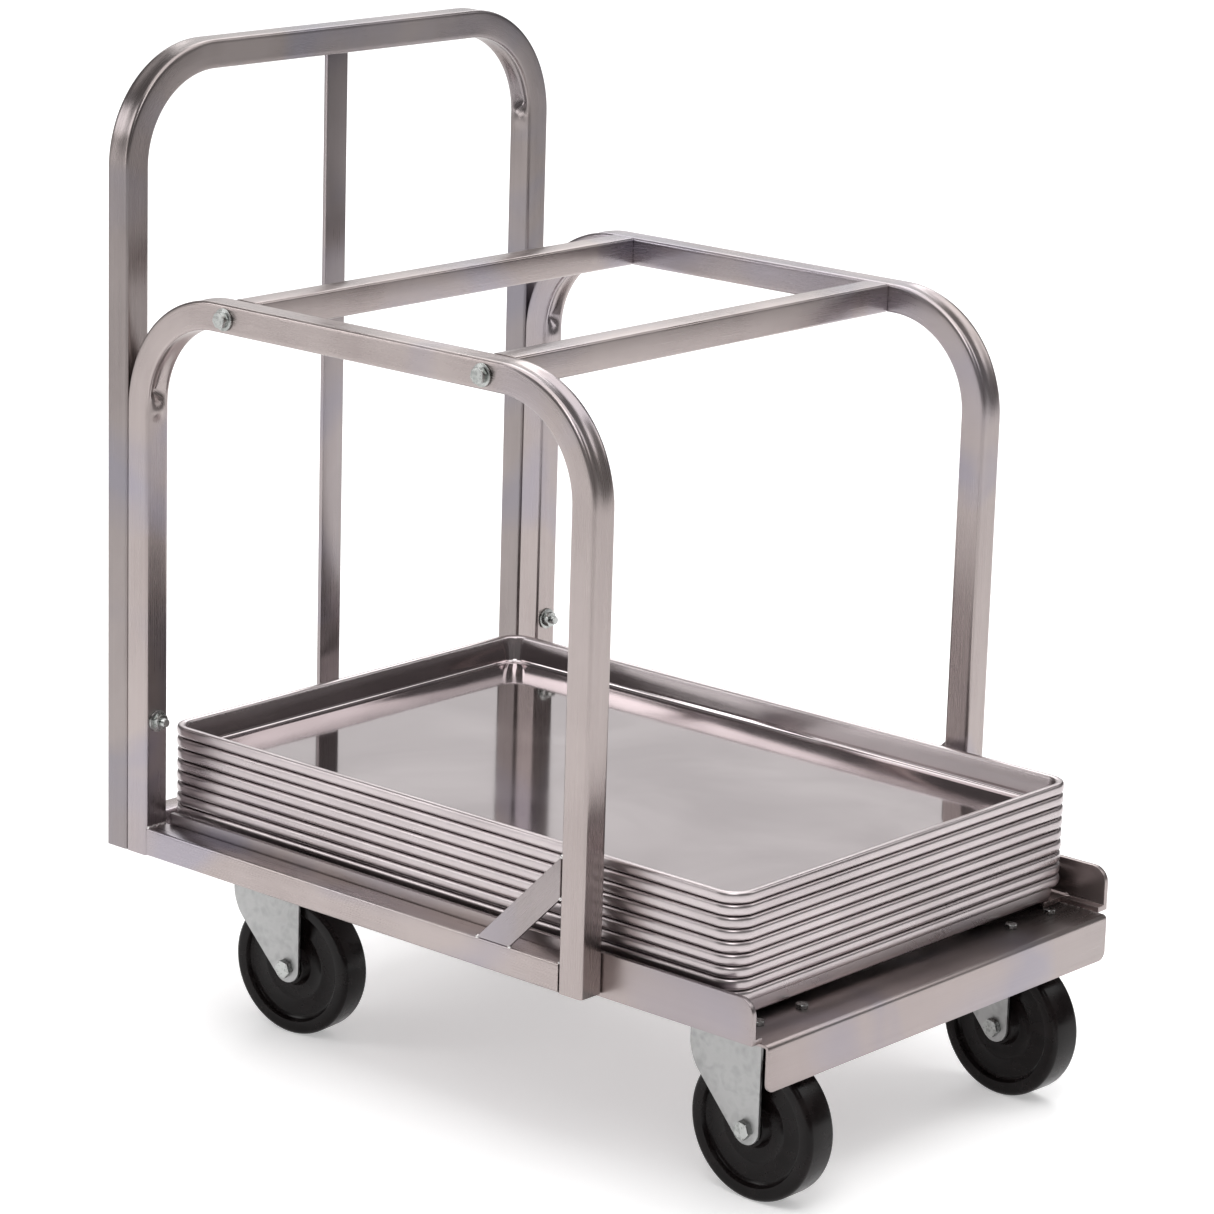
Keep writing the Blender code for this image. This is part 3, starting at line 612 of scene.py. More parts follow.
def extrude_by(x=0.0, y=0.0, z=0.0):
    bpy.ops.mesh.extrude_region_move(TRANSFORM_OT_translate={"value": (x, y, z)})


def add_tube_section(name, x, z):
    """A rounded square, flat in the ground plane, with points across its sides."""
    bpy.ops.object.select_all(action="DESELECT")
    bpy.ops.mesh.primitive_plane_add(size=TUBE, location=(x, 0.0, z))
    piece = settle(name)
    edit(piece, "VERT")
    pick_all()
    bpy.ops.mesh.bevel(offset=TUBE_CORNER, segments=4, affect="VERTICES")
    pick("EDGE", lambda edge: edge.calc_length() > TUBE / 2)
    bpy.ops.mesh.subdivide(number_cuts=11)
    return piece


def bent_tube(name, first, last, foot, top, saddle):
    """A hoop in the plane y = 0 between the outer faces of its legs."""
    piece = add_tube_section(name, first + TUBE / 2, foot)
    bend_height = top - BEND_RADIUS
    bpy.ops.mesh.select_mode(type="FACE")
    pick_all()
    extrude_by(z=bend_height - BESIDE_BEND - foot)
    for _ in range(STEPS_BESIDE_BEND):
        extrude_by(z=BESIDE_BEND / STEPS_BESIDE_BEND)
    spin_bend((first + BEND_RADIUS, 0.0, bend_height))
    extrude_by(x=last - first - 2 * BEND_RADIUS)
    spin_bend((last - BEND_RADIUS, 0.0, bend_height))
    for _ in range(STEPS_BESIDE_BEND):
        extrude_by(z=-BESIDE_BEND / STEPS_BESIDE_BEND)
    extrude_by(z=foot - (bend_height - BESIDE_BEND))
    pick_all()
    bpy.ops.mesh.remove_doubles(threshold=0.01 * MM)
    bpy.ops.mesh.normals_make_consistent(inside=False)
    pick("FACE", lambda face: len(face.verts) > 4)
    bpy.ops.mesh.delete(type="FACE")
    object_mode()
    crush_bends(piece, first, last, top, saddle)
    modify(piece, "SOLIDIFY", thickness=TUBE_WALL, offset=-1.0)
    middle_radius = BEND_RADIUS - TUBE / 2

    def along(point):
        angle, outward, direction, mirrored = on_hoop(point, first, last, top)
        length = bend_height - foot + angle * middle_radius
        return 3.0 - length if mirrored else length

    def around(point):
        return point.y + on_hoop(point, first, last, top)[1]

    lay_grain(piece, along, around)
    smooth(piece, 40.0)
    print(name, len(piece.data.polygons), "faces")
    return piece


handle = bent_tube("handle_tube", handle_low.y, handle_high.y, handle_low.z, handle_high.z,
                   HANDLE_SADDLE)
quarter_turn = turn_by(math.pi / 2, "Z")
handle.data.transform(Matrix.Translation(((handle_low.x + handle_high.x) / 2, 0.0, 0.0))
                      @ quarter_turn)
# The handle takes the darker copy of the tube finish, which is painted shade.
ready(handle, "frame", handle_aluminium, "tube_aluminium", "handle_hoop")

hoop = bent_tube("hoop_tube", hoop_low.x, hoop_high.x, hoop_low.z, hoop_high.z, HOOP_SADDLE)
for side_name in SIDES:
    low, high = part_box("side_hoop_" + side_name)
    twin = copy_of(hoop, f"side_hoop_{side_name}_tube",
                   Matrix.Translation((0.0, (low.y + high.y) / 2, 0.0)))
    ready(twin, "frame", tube_aluminium, "tube_aluminium", "side_hoop_" + side_name,
          "side_hoop_leg_" + side_name)
discard(hoop)

# %% [markdown]
# ## Straight tubes
#
# Cross bars, bottom rails and the rear cross tube are straight lengths of the same tube. A box is
# stretched to the node's own box, and only its four long edges are rounded; the cut ends keep a
# crisp, slightly broken edge.

# %% Straight tubes
CUT_EDGE = 0.3 * MM


def straight_tube(name, node, axis):
    piece = add_block(name, *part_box(node))
    edit(piece, "EDGE")
    pick("EDGE", lambda edge: runs_along(edge, axis))
    round_off(TUBE_CORNER, 5)
    object_mode()
    soften(piece, CUT_EDGE, segments=1, angle=60.0)
    lay_straight_grain(piece, axis)
    ready(piece, "frame", tube_aluminium, "tube_aluminium", node)


straight_tube("rear_cross_tube_fine", "rear_cross_tube", 1)
for bar_name in ("rear", "front"):
    straight_tube(f"cross_bar_{bar_name}_tube", "cross_bar_" + bar_name, 1)
for side_name in SIDES:
    straight_tube(f"bottom_rail_{side_name}_tube", "bottom_rail_" + side_name, 0)
print("straight tubes: 5")

# %% [markdown]
# ## Flat bars
#
# The handle's middle bar is a plain flat bar. The two braces are the same bar, sawn at 45 degrees
# at both ends: a block is turned, and two bisections cut it where the leg and the rail stand.

# %% Flat bars
BAR_EDGE = 0.7 * MM
BRACE_WIDTH = 25.4 * MM


def center_bar():
    piece = add_block("handle_center_bar_fine", *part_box("handle_center_bar"))
    soften(piece, BAR_EDGE, segments=3)
    lay_straight_grain(piece, 2)
    ready(piece, "frame", bar_aluminium, "bar_aluminium", "handle_center_bar")


def brace(side_name):
    node = "brace_" + side_name
    low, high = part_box(node)
    outer_leg = high.x - low.x
    middle_leg = outer_leg - BRACE_WIDTH * math.sqrt(2) / 2
    center = Vector((high.x - middle_leg / 2, (low.y + high.y) / 2, low.z + middle_leg / 2))
    half = Vector((middle_leg * math.sqrt(2) / 2 + BRACE_WIDTH, (high.y - low.y) / 2,
                   BRACE_WIDTH / 2))
    piece = add_block(node + "_bar", center - half, center + half, (0.0, -math.pi / 4, 0.0))
    edit(piece)
    for place, normal in ((high, (1.0, 0.0, 0.0)), (low, (0.0, 0.0, -1.0))):
        cut_across(place, normal, use_fill=True, clear_outer=True)
    object_mode()
    soften(piece, BAR_EDGE, segments=2)
    lay_grain(piece, lambda p: p.x + p.z, lambda p: p.x - p.z + p.y)
    ready(piece, "frame", bar_aluminium, "bar_aluminium", node)


center_bar()
for side_name in SIDES:
    brace(side_name)
print("flat bars: 3")

# %% [markdown]
# ## Side rails
#
# Each rail is an angle: one leg stands beside the pans, the other carries them. The standing leg
# is a block; its lower strip is extruded inwards, the root gets its fillet, and the upper front
# corner is rounded off so that nobody is cut by it.

# %% Side rails
ANGLE_SHEET = 4.8 * MM
ANGLE_END_RADIUS = 14.0 * MM
ANGLE_ROOT = 3.5 * MM
FLANGE_BEHIND_PAN = 9.0 * MM     # where the carrying leg is cut narrow, behind the pans' front
NARROW_FLANGE = 8.0 * MM


def side_rail(side_name, side):
    node = "side_angle_" + side_name
    low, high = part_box(node)
    outer = low.y if side < 0 else high.y
    inner = outer - side * ANGLE_SHEET
    toe = high.y if side < 0 else low.y
    shelf = low.z + ANGLE_SHEET
    piece = add_block(node + "_fine", (low.x, min(outer, inner), low.z),
                      (high.x, max(outer, inner), high.z))
    edit(piece)
    cut_across((0.0, 0.0, shelf), UP)
    flange_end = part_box("pan_9")[1].x - FLANGE_BEHIND_PAN
    cut_across((flange_end, 0.0, 0.0), (1.0, 0.0, 0.0))
    pick("FACE", lambda face: near(face.calc_center_median().y, inner)
         and face.calc_center_median().z < shelf and face.calc_center_median().x < flange_end)
    extrude_by(y=toe - inner)
    pick("FACE", lambda face: near(face.calc_center_median().y, inner)
         and face.calc_center_median().z < shelf and face.calc_center_median().x > flange_end)
    extrude_by(y=-side * NARROW_FLANGE)
    pick("EDGE", lambda edge: runs_along(edge, 0) and near(middle_of(edge).y, inner)
         and near(middle_of(edge).z, shelf) and middle_of(edge).x < flange_end)
    round_off(ANGLE_ROOT, 5)
    pick("EDGE", lambda edge: runs_along(edge, 1) and near(middle_of(edge).x, high.x)
         and near(middle_of(edge).z, high.z))
    round_off(ANGLE_END_RADIUS, 10)
    object_mode()
    soften(piece, 0.9 * MM, segments=3)
    lay_straight_grain(piece, 0)
    ready(piece, "frame", plate_aluminium, "plate_aluminium", node)


for side_name, side in SIDES.items():
    side_rail(side_name, side)
print("side rails: 2")

# %% [markdown]
# ## Deck plates
#
# The front plate is folded sheet. It starts as a flat face; its front edge is extruded downwards
# for the lip, the fold is rounded, the lip's lower corners are rounded, and Solidify gives the
# sheet its thickness. The two hidden plates are flat.

# %% Deck plates
DECK_SHEET = 2.9 * MM
LIP_FOLD = 4.5 * MM
LIP_CORNER = 8.0 * MM


def front_deck():
    low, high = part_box("front_deck_plate")
    bpy.ops.object.select_all(action="DESELECT")
    bpy.ops.mesh.primitive_plane_add(size=1.0, location=((low.x + high.x) / 2, 0.0, high.z))
    bpy.context.object.scale = (high.x - low.x, high.y - low.y, 1.0)
    piece = settle("front_deck_plate_fine")
    edit(piece, "EDGE")
    pick("EDGE", lambda edge: near(middle_of(edge).x, high.x))
    extrude_by(z=low.z - high.z)
    pick_all()
    bpy.ops.mesh.normals_make_consistent(inside=False)
    pick("VERT", lambda vertex: near(vertex.co.z, low.z))
    bpy.ops.mesh.bevel(offset=LIP_CORNER, segments=8, affect="VERTICES")
    pick("EDGE", lambda edge: runs_along(edge, 1) and near(middle_of(edge).x, high.x)
         and near(middle_of(edge).z, high.z))
    round_off(LIP_FOLD, 8)
    object_mode()
    top_faces = [face for face in piece.data.polygons if abs(face.normal.z) > 0.99]
    if top_faces[0].normal.z < 0.0:
        edit(piece)
        pick_all()
        bpy.ops.mesh.flip_normals()
        object_mode()
    modify(piece, "SOLIDIFY", thickness=DECK_SHEET, offset=-1.0)
    soften(piece, 0.45 * MM, segments=2, angle=50.0)
    lay_grain(piece, lambda p: p.y, lambda p: p.x + p.z)
    ready(piece, "frame", plate_aluminium, "plate_aluminium", "front_deck_plate")


def flat_plate(node):
    piece = add_block(node + "_fine", *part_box(node))
    soften(piece, 0.5 * MM)
    lay_straight_grain(piece, 1)
    ready(piece, "frame", plate_aluminium, "plate_aluminium", node)


front_deck()
for node in ("rear_deck_plate", "center_support"):
    flat_plate(node)
print("deck plates: 3")

# %% [markdown]
# ## Sheet pans
#
# A pan is pressed from one sheet, and its rim is rolled over a wire. We follow the sheet: starting
# from a rounded rectangle at the widest line of the rim, each inset step moves inwards and up or
# down, over the rim, down the wall and round to the floor. The underside of the rim is made the
# same way from a second face. In the corners the sheet has too little room, so its wall puckers
# into soft vertical folds, which are pushed in by a formula.

# %% Sheet pans
pan_low, pan_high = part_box("pan_9")
PAN_DEPTH = pan_high.z - pan_low.z
PAN_SHEET = 1.2 * MM
PAN_CORNER = 23.0 * MM
RIM_WIDTH = 8.0 * MM
RIM_HEIGHT = 9.9 * MM
RIM_CROWN = 4.6 * MM         # height of the rim's widest line below its top
RIM_SQUARENESS = 0.68        # 1 is an ellipse; less is flatter outside
WALL_TAPER = 0.20            # lets one pan drop into the next with a little play
LOWEST_TAPER = -0.09         # the lowest pan's walls lean out towards its floor
FLOOR_RADIUS = 4.2 * MM
CORNER_POINTS = 16
PUCKER = 0.45 * MM
PUCKERS = 3.5
PAN_SLIP = 0.22 * MM          # how far a pan may lie off its neighbour
PAN_TURN = 0.03              # and how many degrees it may be turned
PAN_COUNT = 9


def quarter(steps):
    """Angles of a quarter turn in equal steps, without the first."""
    return [math.pi / 2 * (i + 1) / steps for i in range(steps)]


def full(value):
    """Swell a sine or cosine, so that a quarter arc becomes flat-sided with a round shoulder."""
    return abs(value) ** RIM_SQUARENESS


def upper_path(taper):
    """(inset, height above the pan's underside) from the rim's widest line to the floor."""
    top = PAN_DEPTH
    half = RIM_WIDTH / 2
    path = [(half - half * full(math.cos(a)), top - RIM_CROWN + RIM_CROWN * full(math.sin(a)))
            for a in quarter(9)]
    fall = RIM_WIDTH / 3
    path += [(half + half * math.sin(a), top - fall + fall * math.cos(a)) for a in quarter(6)]
    wall_top = path[-1][1]
    wall_foot = PAN_SHEET + FLOOR_RADIUS
    for i in range(1, 8):
        height = wall_top + (wall_foot - wall_top) * i / 7
        path.append((RIM_WIDTH + (wall_top - height) * taper, height))
    inset = path[-1][0]
    path += [(inset + FLOOR_RADIUS - FLOOR_RADIUS * math.cos(a),
              wall_foot - FLOOR_RADIUS * math.sin(a)) for a in quarter(5)]
    return path


def lower_path():
    """The rolled edge, from the rim's widest line down and back in to the wall."""
    start = PAN_DEPTH - RIM_CROWN
    drop = RIM_HEIGHT - RIM_CROWN
    reach = RIM_WIDTH * 0.56
    return [(reach - reach * full(math.cos(a)), start - drop * full(math.sin(a)))
            for a in quarter(9)]


def inset_along(path, start_height, up):
    """Inset the selected face step by step; up is +1 where its normal points up."""
    inset, height = 0.0, start_height
    for next_inset, next_height in path:
        bpy.ops.mesh.inset(thickness=next_inset - inset, depth=(next_height - height) * up,
                           use_even_offset=True)
        inset, height = next_inset, next_height


def pucker_corners(piece, center):
    """Push the wall's corners into soft vertical folds."""
    half = Vector(((pan_high.x - pan_low.x) / 2 - PAN_CORNER,
                   (pan_high.y - pan_low.y) / 2 - PAN_CORNER))
    wall_foot, wall_top = PAN_SHEET, PAN_DEPTH - RIM_WIDTH / 3
    for vertex in piece.data.vertices:
        height = vertex.co.z - pan_low.z
        x, y = vertex.co.x - center.x, vertex.co.y - center.y
        out = Vector((abs(x) - half.x, abs(y) - half.y))
        inset = PAN_CORNER - out.length
        if min(out) <= 0.0 or inset < RIM_WIDTH * 0.98 or not wall_foot < height < wall_top:
            continue
        share = math.atan2(out.y, out.x) / (math.pi / 2)
        level = (height - wall_foot) / (wall_top - wall_foot)
        window = math.sin(math.pi * share) ** 0.6 * math.sin(math.pi * level ** 0.8)
        fold = math.sin(2 * math.pi * PUCKERS * share + 0.7 * level)
        push = PUCKER * window * fold
        vertex.co.x += math.copysign(out.x / out.length * push, x)
        vertex.co.y += math.copysign(out.y / out.length * push, y)


def lay_handling(piece, center):
    """UV map whose u is 1 on the rim and the outside, which gets scuffed, and 0 inside."""
    layer = piece.data.uv_layers.new(name="handling")
    half_x = (pan_high.x - pan_low.x) / 2 - PAN_CORNER
    half_y = (pan_high.y - pan_low.y) / 2 - PAN_CORNER
    for loop in piece.data.loops:
        point = piece.data.vertices[loop.vertex_index].co - center
        out_x, out_y = abs(point.x) - half_x, abs(point.y) - half_y
        reach = math.hypot(out_x, out_y) if min(out_x, out_y) > 0.0 else max(out_x, out_y)
        inset = PAN_CORNER - reach
        layer.data[loop.index].uv = (1.0 - rise(inset, RIM_WIDTH * 0.92, RIM_WIDTH * 1.25), 0.0)


def press_pan(taper):
    """A pan in the place of the top one, for the others to be copied from."""
    center = (pan_low + pan_high) / 2
    start = PAN_DEPTH - RIM_CROWN
    bpy.ops.object.select_all(action="DESELECT")
    bpy.ops.mesh.primitive_plane_add(size=1.0, location=(center.x, center.y, pan_low.z + start))
    bpy.context.object.scale = (pan_high.x - pan_low.x, pan_high.y - pan_low.y, 1.0)
    piece = settle("pressed_pan")
    edit(piece, "VERT")
    pick_all()
    bpy.ops.mesh.bevel(offset=PAN_CORNER, segments=CORNER_POINTS, affect="VERTICES")
    bpy.ops.mesh.select_mode(type="FACE")
    pick_all()
    inset_along(upper_path(taper), start, 1)
    for axis, cuts in ((0, 11), (1, 8)):
        for i in range(1, cuts):
            place = list(center)
            place[axis] = pan_low[axis] + (pan_high[axis] - pan_low[axis]) * i / cuts
            normal = [0.0, 0.0, 0.0]
            normal[axis] = 1.0
            pick("FACE", lambda face: near(face.calc_center_median().z, pan_low.z + PAN_SHEET)
                 and face.normal.z > 0.99)
            bpy.ops.mesh.bisect(plane_co=place, plane_no=normal)
    pick("EDGE", lambda edge: edge.is_boundary)
    bpy.ops.mesh.edge_face_add()
    pick_all()
    bpy.ops.mesh.normals_make_consistent(inside=False)
    pick("FACE", lambda face: face.normal.z < -0.99)
    inset_along(lower_path(), start, -1)
    pick("FACE", lambda face: len(face.verts) > 40)
    bpy.ops.mesh.delete(type="FACE")
    object_mode()
    pucker_corners(piece, center)
    modify(piece, "SOLIDIFY", thickness=PAN_SHEET, offset=-1.0)
    lay_straight_grain(piece, 0)
    lay_handling(piece, center)
    smooth(piece, 45.0)
    print("pan:", len(piece.data.polygons), "faces")
    return piece


random.seed(11)
pressed_pan = press_pan(WALL_TAPER)
lowest_pan = press_pan(LOWEST_TAPER)
for i in range(1, PAN_COUNT + 1):
    low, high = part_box(f"pan_{i}")
    slip = Vector((random.uniform(-PAN_SLIP, PAN_SLIP), random.uniform(-PAN_SLIP, PAN_SLIP), 0.0))
    turn = turn_by(math.radians(random.uniform(-PAN_TURN, PAN_TURN)), "Z")
    place = Matrix.Translation(Vector((0.0, 0.0, low.z - pan_low.z)) + slip) @ turn
    pan = copy_of(lowest_pan if i == 1 else pressed_pan, f"pan_{i}_sheet", place)
    ready(pan, f"pan_{i}", pan_aluminium, "pan_aluminium", f"pan_{i}")
for pattern in (pressed_pan, lowest_pan):
    discard(pattern)

# %% [markdown]
# ## Bolts
#
# A hex head is a six-sided prism with its points turned off on a lathe. We intersect the prism with
# a round blank whose rim is bevelled, which leaves the real curved chamfers. The washer is a short
# bevelled cylinder, and the thread's end is a cylinder whose rings of points stand in and out.

# %% Bolts
HEAD_CHAMFER = 1.1 * MM
THREAD_PITCH = 1.25 * MM


def hex_head(name, across_flats, start, end, chamfer_end=True):
    """A hex head or nut along +Z from start to end, its far end chamfered."""
    corner = across_flats / math.sqrt(3)
    piece = add_round(name, corner, start, end, sides=6)
    blank = add_round(name + "_blank", corner * 1.01, start, end, sides=48)
    edit(blank, "EDGE")
    face = end if chamfer_end else start
    pick("EDGE", lambda edge: near(edge.verts[0].co.z, face) and near(edge.verts[1].co.z, face))
    round_off(HEAD_CHAMFER, 3)
    object_mode()
    combine(piece, blank, "INTERSECT")
    soften(piece, 0.15 * MM, segments=1)
    return piece


def washer(name, radius, start, end):
    piece = add_round(name, radius, start, end, sides=40)
    soften(piece, 0.35 * MM, segments=2, angle=50.0)
    return piece


def threaded_rod(name, radius, start, end):
    """A rod along Z whose surface is cut into thread grooves, with a pointed end."""
    piece = add_round(name, radius, start, end, sides=20)
    edit(piece)
    cuts = max(int(abs(end - start) / THREAD_PITCH * 2), 2)
    for i in range(1, cuts):
        height = min(start, end) + abs(end - start) * i / cuts
        cut_across((0.0, 0.0, height), UP)
    object_mode()
    for vertex in piece.data.vertices:
        level = round((vertex.co.z - min(start, end)) / abs(end - start) * cuts)
        shrink = 0.86 if level % 2 or level in (0, cuts) else 1.0
        vertex.co.x *= shrink
        vertex.co.y *= shrink
    smooth(piece, 20.0)
    return piece


def put_along(piece, place, direction):
    """Turn a piece that was made along +Z into a direction and move it to its place."""
    turn = Vector(UP).rotation_difference(Vector(direction)).to_matrix().to_4x4()
    piece.data.transform(Matrix.Translation(place) @ turn)


# %% Frame bolts
BOLT_HEX = 12.6 * MM
BOLT_HEAD = 5.5 * MM
BOLT_WASHER = 1.8 * MM
BOLT_WASHER_RADIUS = 9.8 * MM
BOLT_RADIUS = 4.0 * MM
BOLT_TIP = 5.0 * MM
BUTTON_RADIUS = 6.5 * MM     # the flat head of a bolt through the two legs
BUTTON_HEIGHT = 2.0 * MM


def head_with_washer(name):
    """Washer and hex head, standing up from z = 0."""
    parts = [washer(name + "_washer", BOLT_WASHER_RADIUS, 0.0, BOLT_WASHER),
             hex_head(name + "_head", BOLT_HEX, BOLT_WASHER, BOLT_WASHER + BOLT_HEAD)]
    return join(parts, name)


bolt_top = head_with_washer("frame_bolt_pattern")
turns = random.Random(5)
for side_name, side in SIDES.items():
    for bar_name in ("rear", "front"):
        node = f"cross_bar_bolt_{bar_name}_{side_name}"
        low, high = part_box(node)
        face = (high.y - BOLT_WASHER - BOLT_HEAD) if side > 0 else (low.y + BOLT_WASHER + BOLT_HEAD)
        spin = turn_by(turns.uniform(0.0, math.pi / 3), "Z")
        bolt = copy_of(bolt_top, node + "_fine", spin)
        put_along(bolt, ((low.x + high.x) / 2, face, (low.z + high.z) / 2), (0.0, side, 0.0))
        ready(bolt, "frame", bolt_zinc, "bolt_zinc", node)

for side_name in SIDES:
    node = "leg_bolt_" + side_name
    low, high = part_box(node)
    middle_y, middle_z = (low.y + high.y) / 2, (low.z + high.z) / 2
    head = washer(node + "_head_side", BUTTON_RADIUS, 0.0, BUTTON_HEIGHT)
    put_along(head, (low.x + BOLT_WASHER + BOLT_HEAD, middle_y, middle_z), (-1.0, 0.0, 0.0))
    nut = copy_of(bolt_top, node + "_nut_side")
    thread = threaded_rod(node + "_thread", BOLT_RADIUS, BOLT_WASHER + BOLT_HEAD,
                          BOLT_WASHER + BOLT_HEAD + BOLT_TIP)
    nut = join([nut, thread], node + "_nut_side")
    nut.data.transform(turn_by(turns.uniform(0.0, math.pi / 3), "Z"))
    nut_face = high.x - BOLT_TIP - BOLT_HEAD - BOLT_WASHER
    put_along(nut, (nut_face, middle_y, middle_z), (1.0, 0.0, 0.0))
    bolt = join([head, nut], node + "_fine")
    ready(bolt, "frame", bolt_zinc, "bolt_zinc", node)
discard(bolt_top)
print("frame bolts: 6")

# %% [markdown]
# ## Casters
#
# A swivel caster is a plate bolted to the deck, a folded fork that turns under it on a ring of
# balls, and a wheel on a bolt through the fork. Each kind of piece is made once, round the swivel
# axis of a caster that points forward, and then turned and moved to its four places. The place and
# the turn are read from the joints: the axis of the wheel's joint shows where the fork points.

# %% Caster places
front_swivel = joints["caster_front_right_swivel_turn"]
front_roll = joints["caster_front_right_wheel_roll"]
AXLE_AHEAD = (Vector(front_roll["pos_m"][:2]) - Vector(front_swivel["pos_m"][:2])).length
AXLE_HEIGHT = front_roll["pos_m"][2]
fork_low, fork_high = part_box("caster_front_right_fork")
plate_low, plate_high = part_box("caster_front_right_plate")
wheel_low, wheel_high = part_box("caster_front_right_wheel")
FORK_OUTER = (fork_high.y - fork_low.y) / 2
FORK_SHEET = 3.2 * MM
FORK_END_RADIUS = 13.5 * MM
CROWN_TOP = fork_high.z
FORK_REAR = fork_low.x - front_swivel["pos_m"][0]
FORK_FRONT = fork_high.x - front_swivel["pos_m"][0]


def caster_place(name):
    """The matrix that carries a forward caster at the origin to its own place."""
    swivel = joints[f"caster_{name}_swivel_turn"]["pos_m"]
    axle = joints[f"caster_{name}_wheel_roll"]["pos_m"]
    turn = math.atan2(axle[1] - swivel[1], axle[0] - swivel[0])
    return (Matrix.Translation((swivel[0], swivel[1], 0.0))
            @ turn_by(turn, "Z"))


def place_at_casters(piece, suffix, body_suffix, finish, slot, turned=True):
    """Copy one caster piece to the four casters and remove the first."""
    for name in CASTERS:
        place = caster_place(name)
        if not turned:
            place = Matrix.Translation(place.translation)
        body = "frame" if body_suffix is None else f"caster_{name}_{body_suffix}"
        twin = copy_of(piece, f"caster_{name}_{suffix}_fine", place)
        ready(twin, body, finish, slot, f"caster_{name}_{suffix}")
    discard(piece)
    print("caster", suffix, "x 4")


# %% [markdown]
# ### Wheel
#
# The wheel is turned from one disc: inset and extrude steps on both sides at once make the rim, the
# sunken web with its moulded ring, and the hub. The tread's edges get a generous radius.

# %% Wheel
WHEEL_RIM = 12.0 * MM
TREAD_HALF = 15.9 * MM
WEB_DEPTH = 6.0 * MM
RING_OUTSIDE = 34.0 * MM     # the moulded ring on the web
RING_INSIDE = 30.0 * MM
RING_HEIGHT = 0.4 * MM
WHEEL_EDGE = 4.5 * MM
HUB_RADIUS = 16.0 * MM
BORE_RADIUS = 8.3 * MM


def turn_wheel():
    radius = AXLE_HEIGHT
    hub_half = (wheel_high.y - wheel_low.y) / 2
    wheel = add_round("caster_wheel", radius, -TREAD_HALF, TREAD_HALF, (AXLE_AHEAD, AXLE_HEIGHT),
                      sides=96, axis="Y")
    edit(wheel)
    reach = radius
    pick("FACE", lambda face: abs(face.normal.y) > 0.99)
    # each step: new radius of the inner ring, and how far that ring sinks
    steps = ((radius - WHEEL_RIM, 0.0), (radius - WHEEL_RIM - 1.6 * MM, -WEB_DEPTH * 0.75),
             (radius - WHEEL_RIM - 4.0 * MM, -WEB_DEPTH * 0.25),
             (RING_OUTSIDE, 0.0), (RING_OUTSIDE - 1.0 * MM, RING_HEIGHT),
             (RING_INSIDE + 1.0 * MM, 0.0), (RING_INSIDE, -RING_HEIGHT),
             (HUB_RADIUS + 3.0 * MM, 0.0), (HUB_RADIUS, WEB_DEPTH + hub_half - TREAD_HALF),
             (BORE_RADIUS, 0.0))
    for ring, rise_by in steps:
        bpy.ops.mesh.inset(thickness=reach - ring, depth=rise_by, use_even_offset=True,
                           use_individual=True)
        reach = ring
    bpy.ops.mesh.bridge_edge_loops()
    pick("EDGE", lambda edge: near(abs(middle_of(edge).y), TREAD_HALF)
         and near(math.hypot(middle_of(edge).x - AXLE_AHEAD, middle_of(edge).z - AXLE_HEIGHT),
                  radius, 0.2 * MM))
    round_off(WHEEL_EDGE, 7)
    object_mode()
    soften(wheel, 0.5 * MM, segments=2, angle=25.0)
    print("wheel:", len(wheel.data.polygons), "faces")
    return wheel


place_at_casters(turn_wheel(), "wheel", "wheel", wheel_black, "wheel_black")

# %% [markdown]
# ### Fork
#
# The side of the fork is the shape of a string pulled round the axle's eye and the crown, which is
# exactly what the convex hull of a disc and a block gives. The hull is made over the full width, its
# folds are rounded, and the room for the wheel is cut out of it. What stays is a folded sheet.

# %% Fork
CROWN_REAR_HEIGHT = 48.0 * MM    # straight part of the rear edge above the axle
KINGPIN_BORE = 6.5 * MM
REAR_FOLD_RADIUS = 14.0 * MM
CROWN_RADIUS = 5.5 * MM
FORK_RACE_RADIUS = 24.0 * MM
BEYOND = 20.0 * MM               # how far a cutting piece reaches past what it cuts


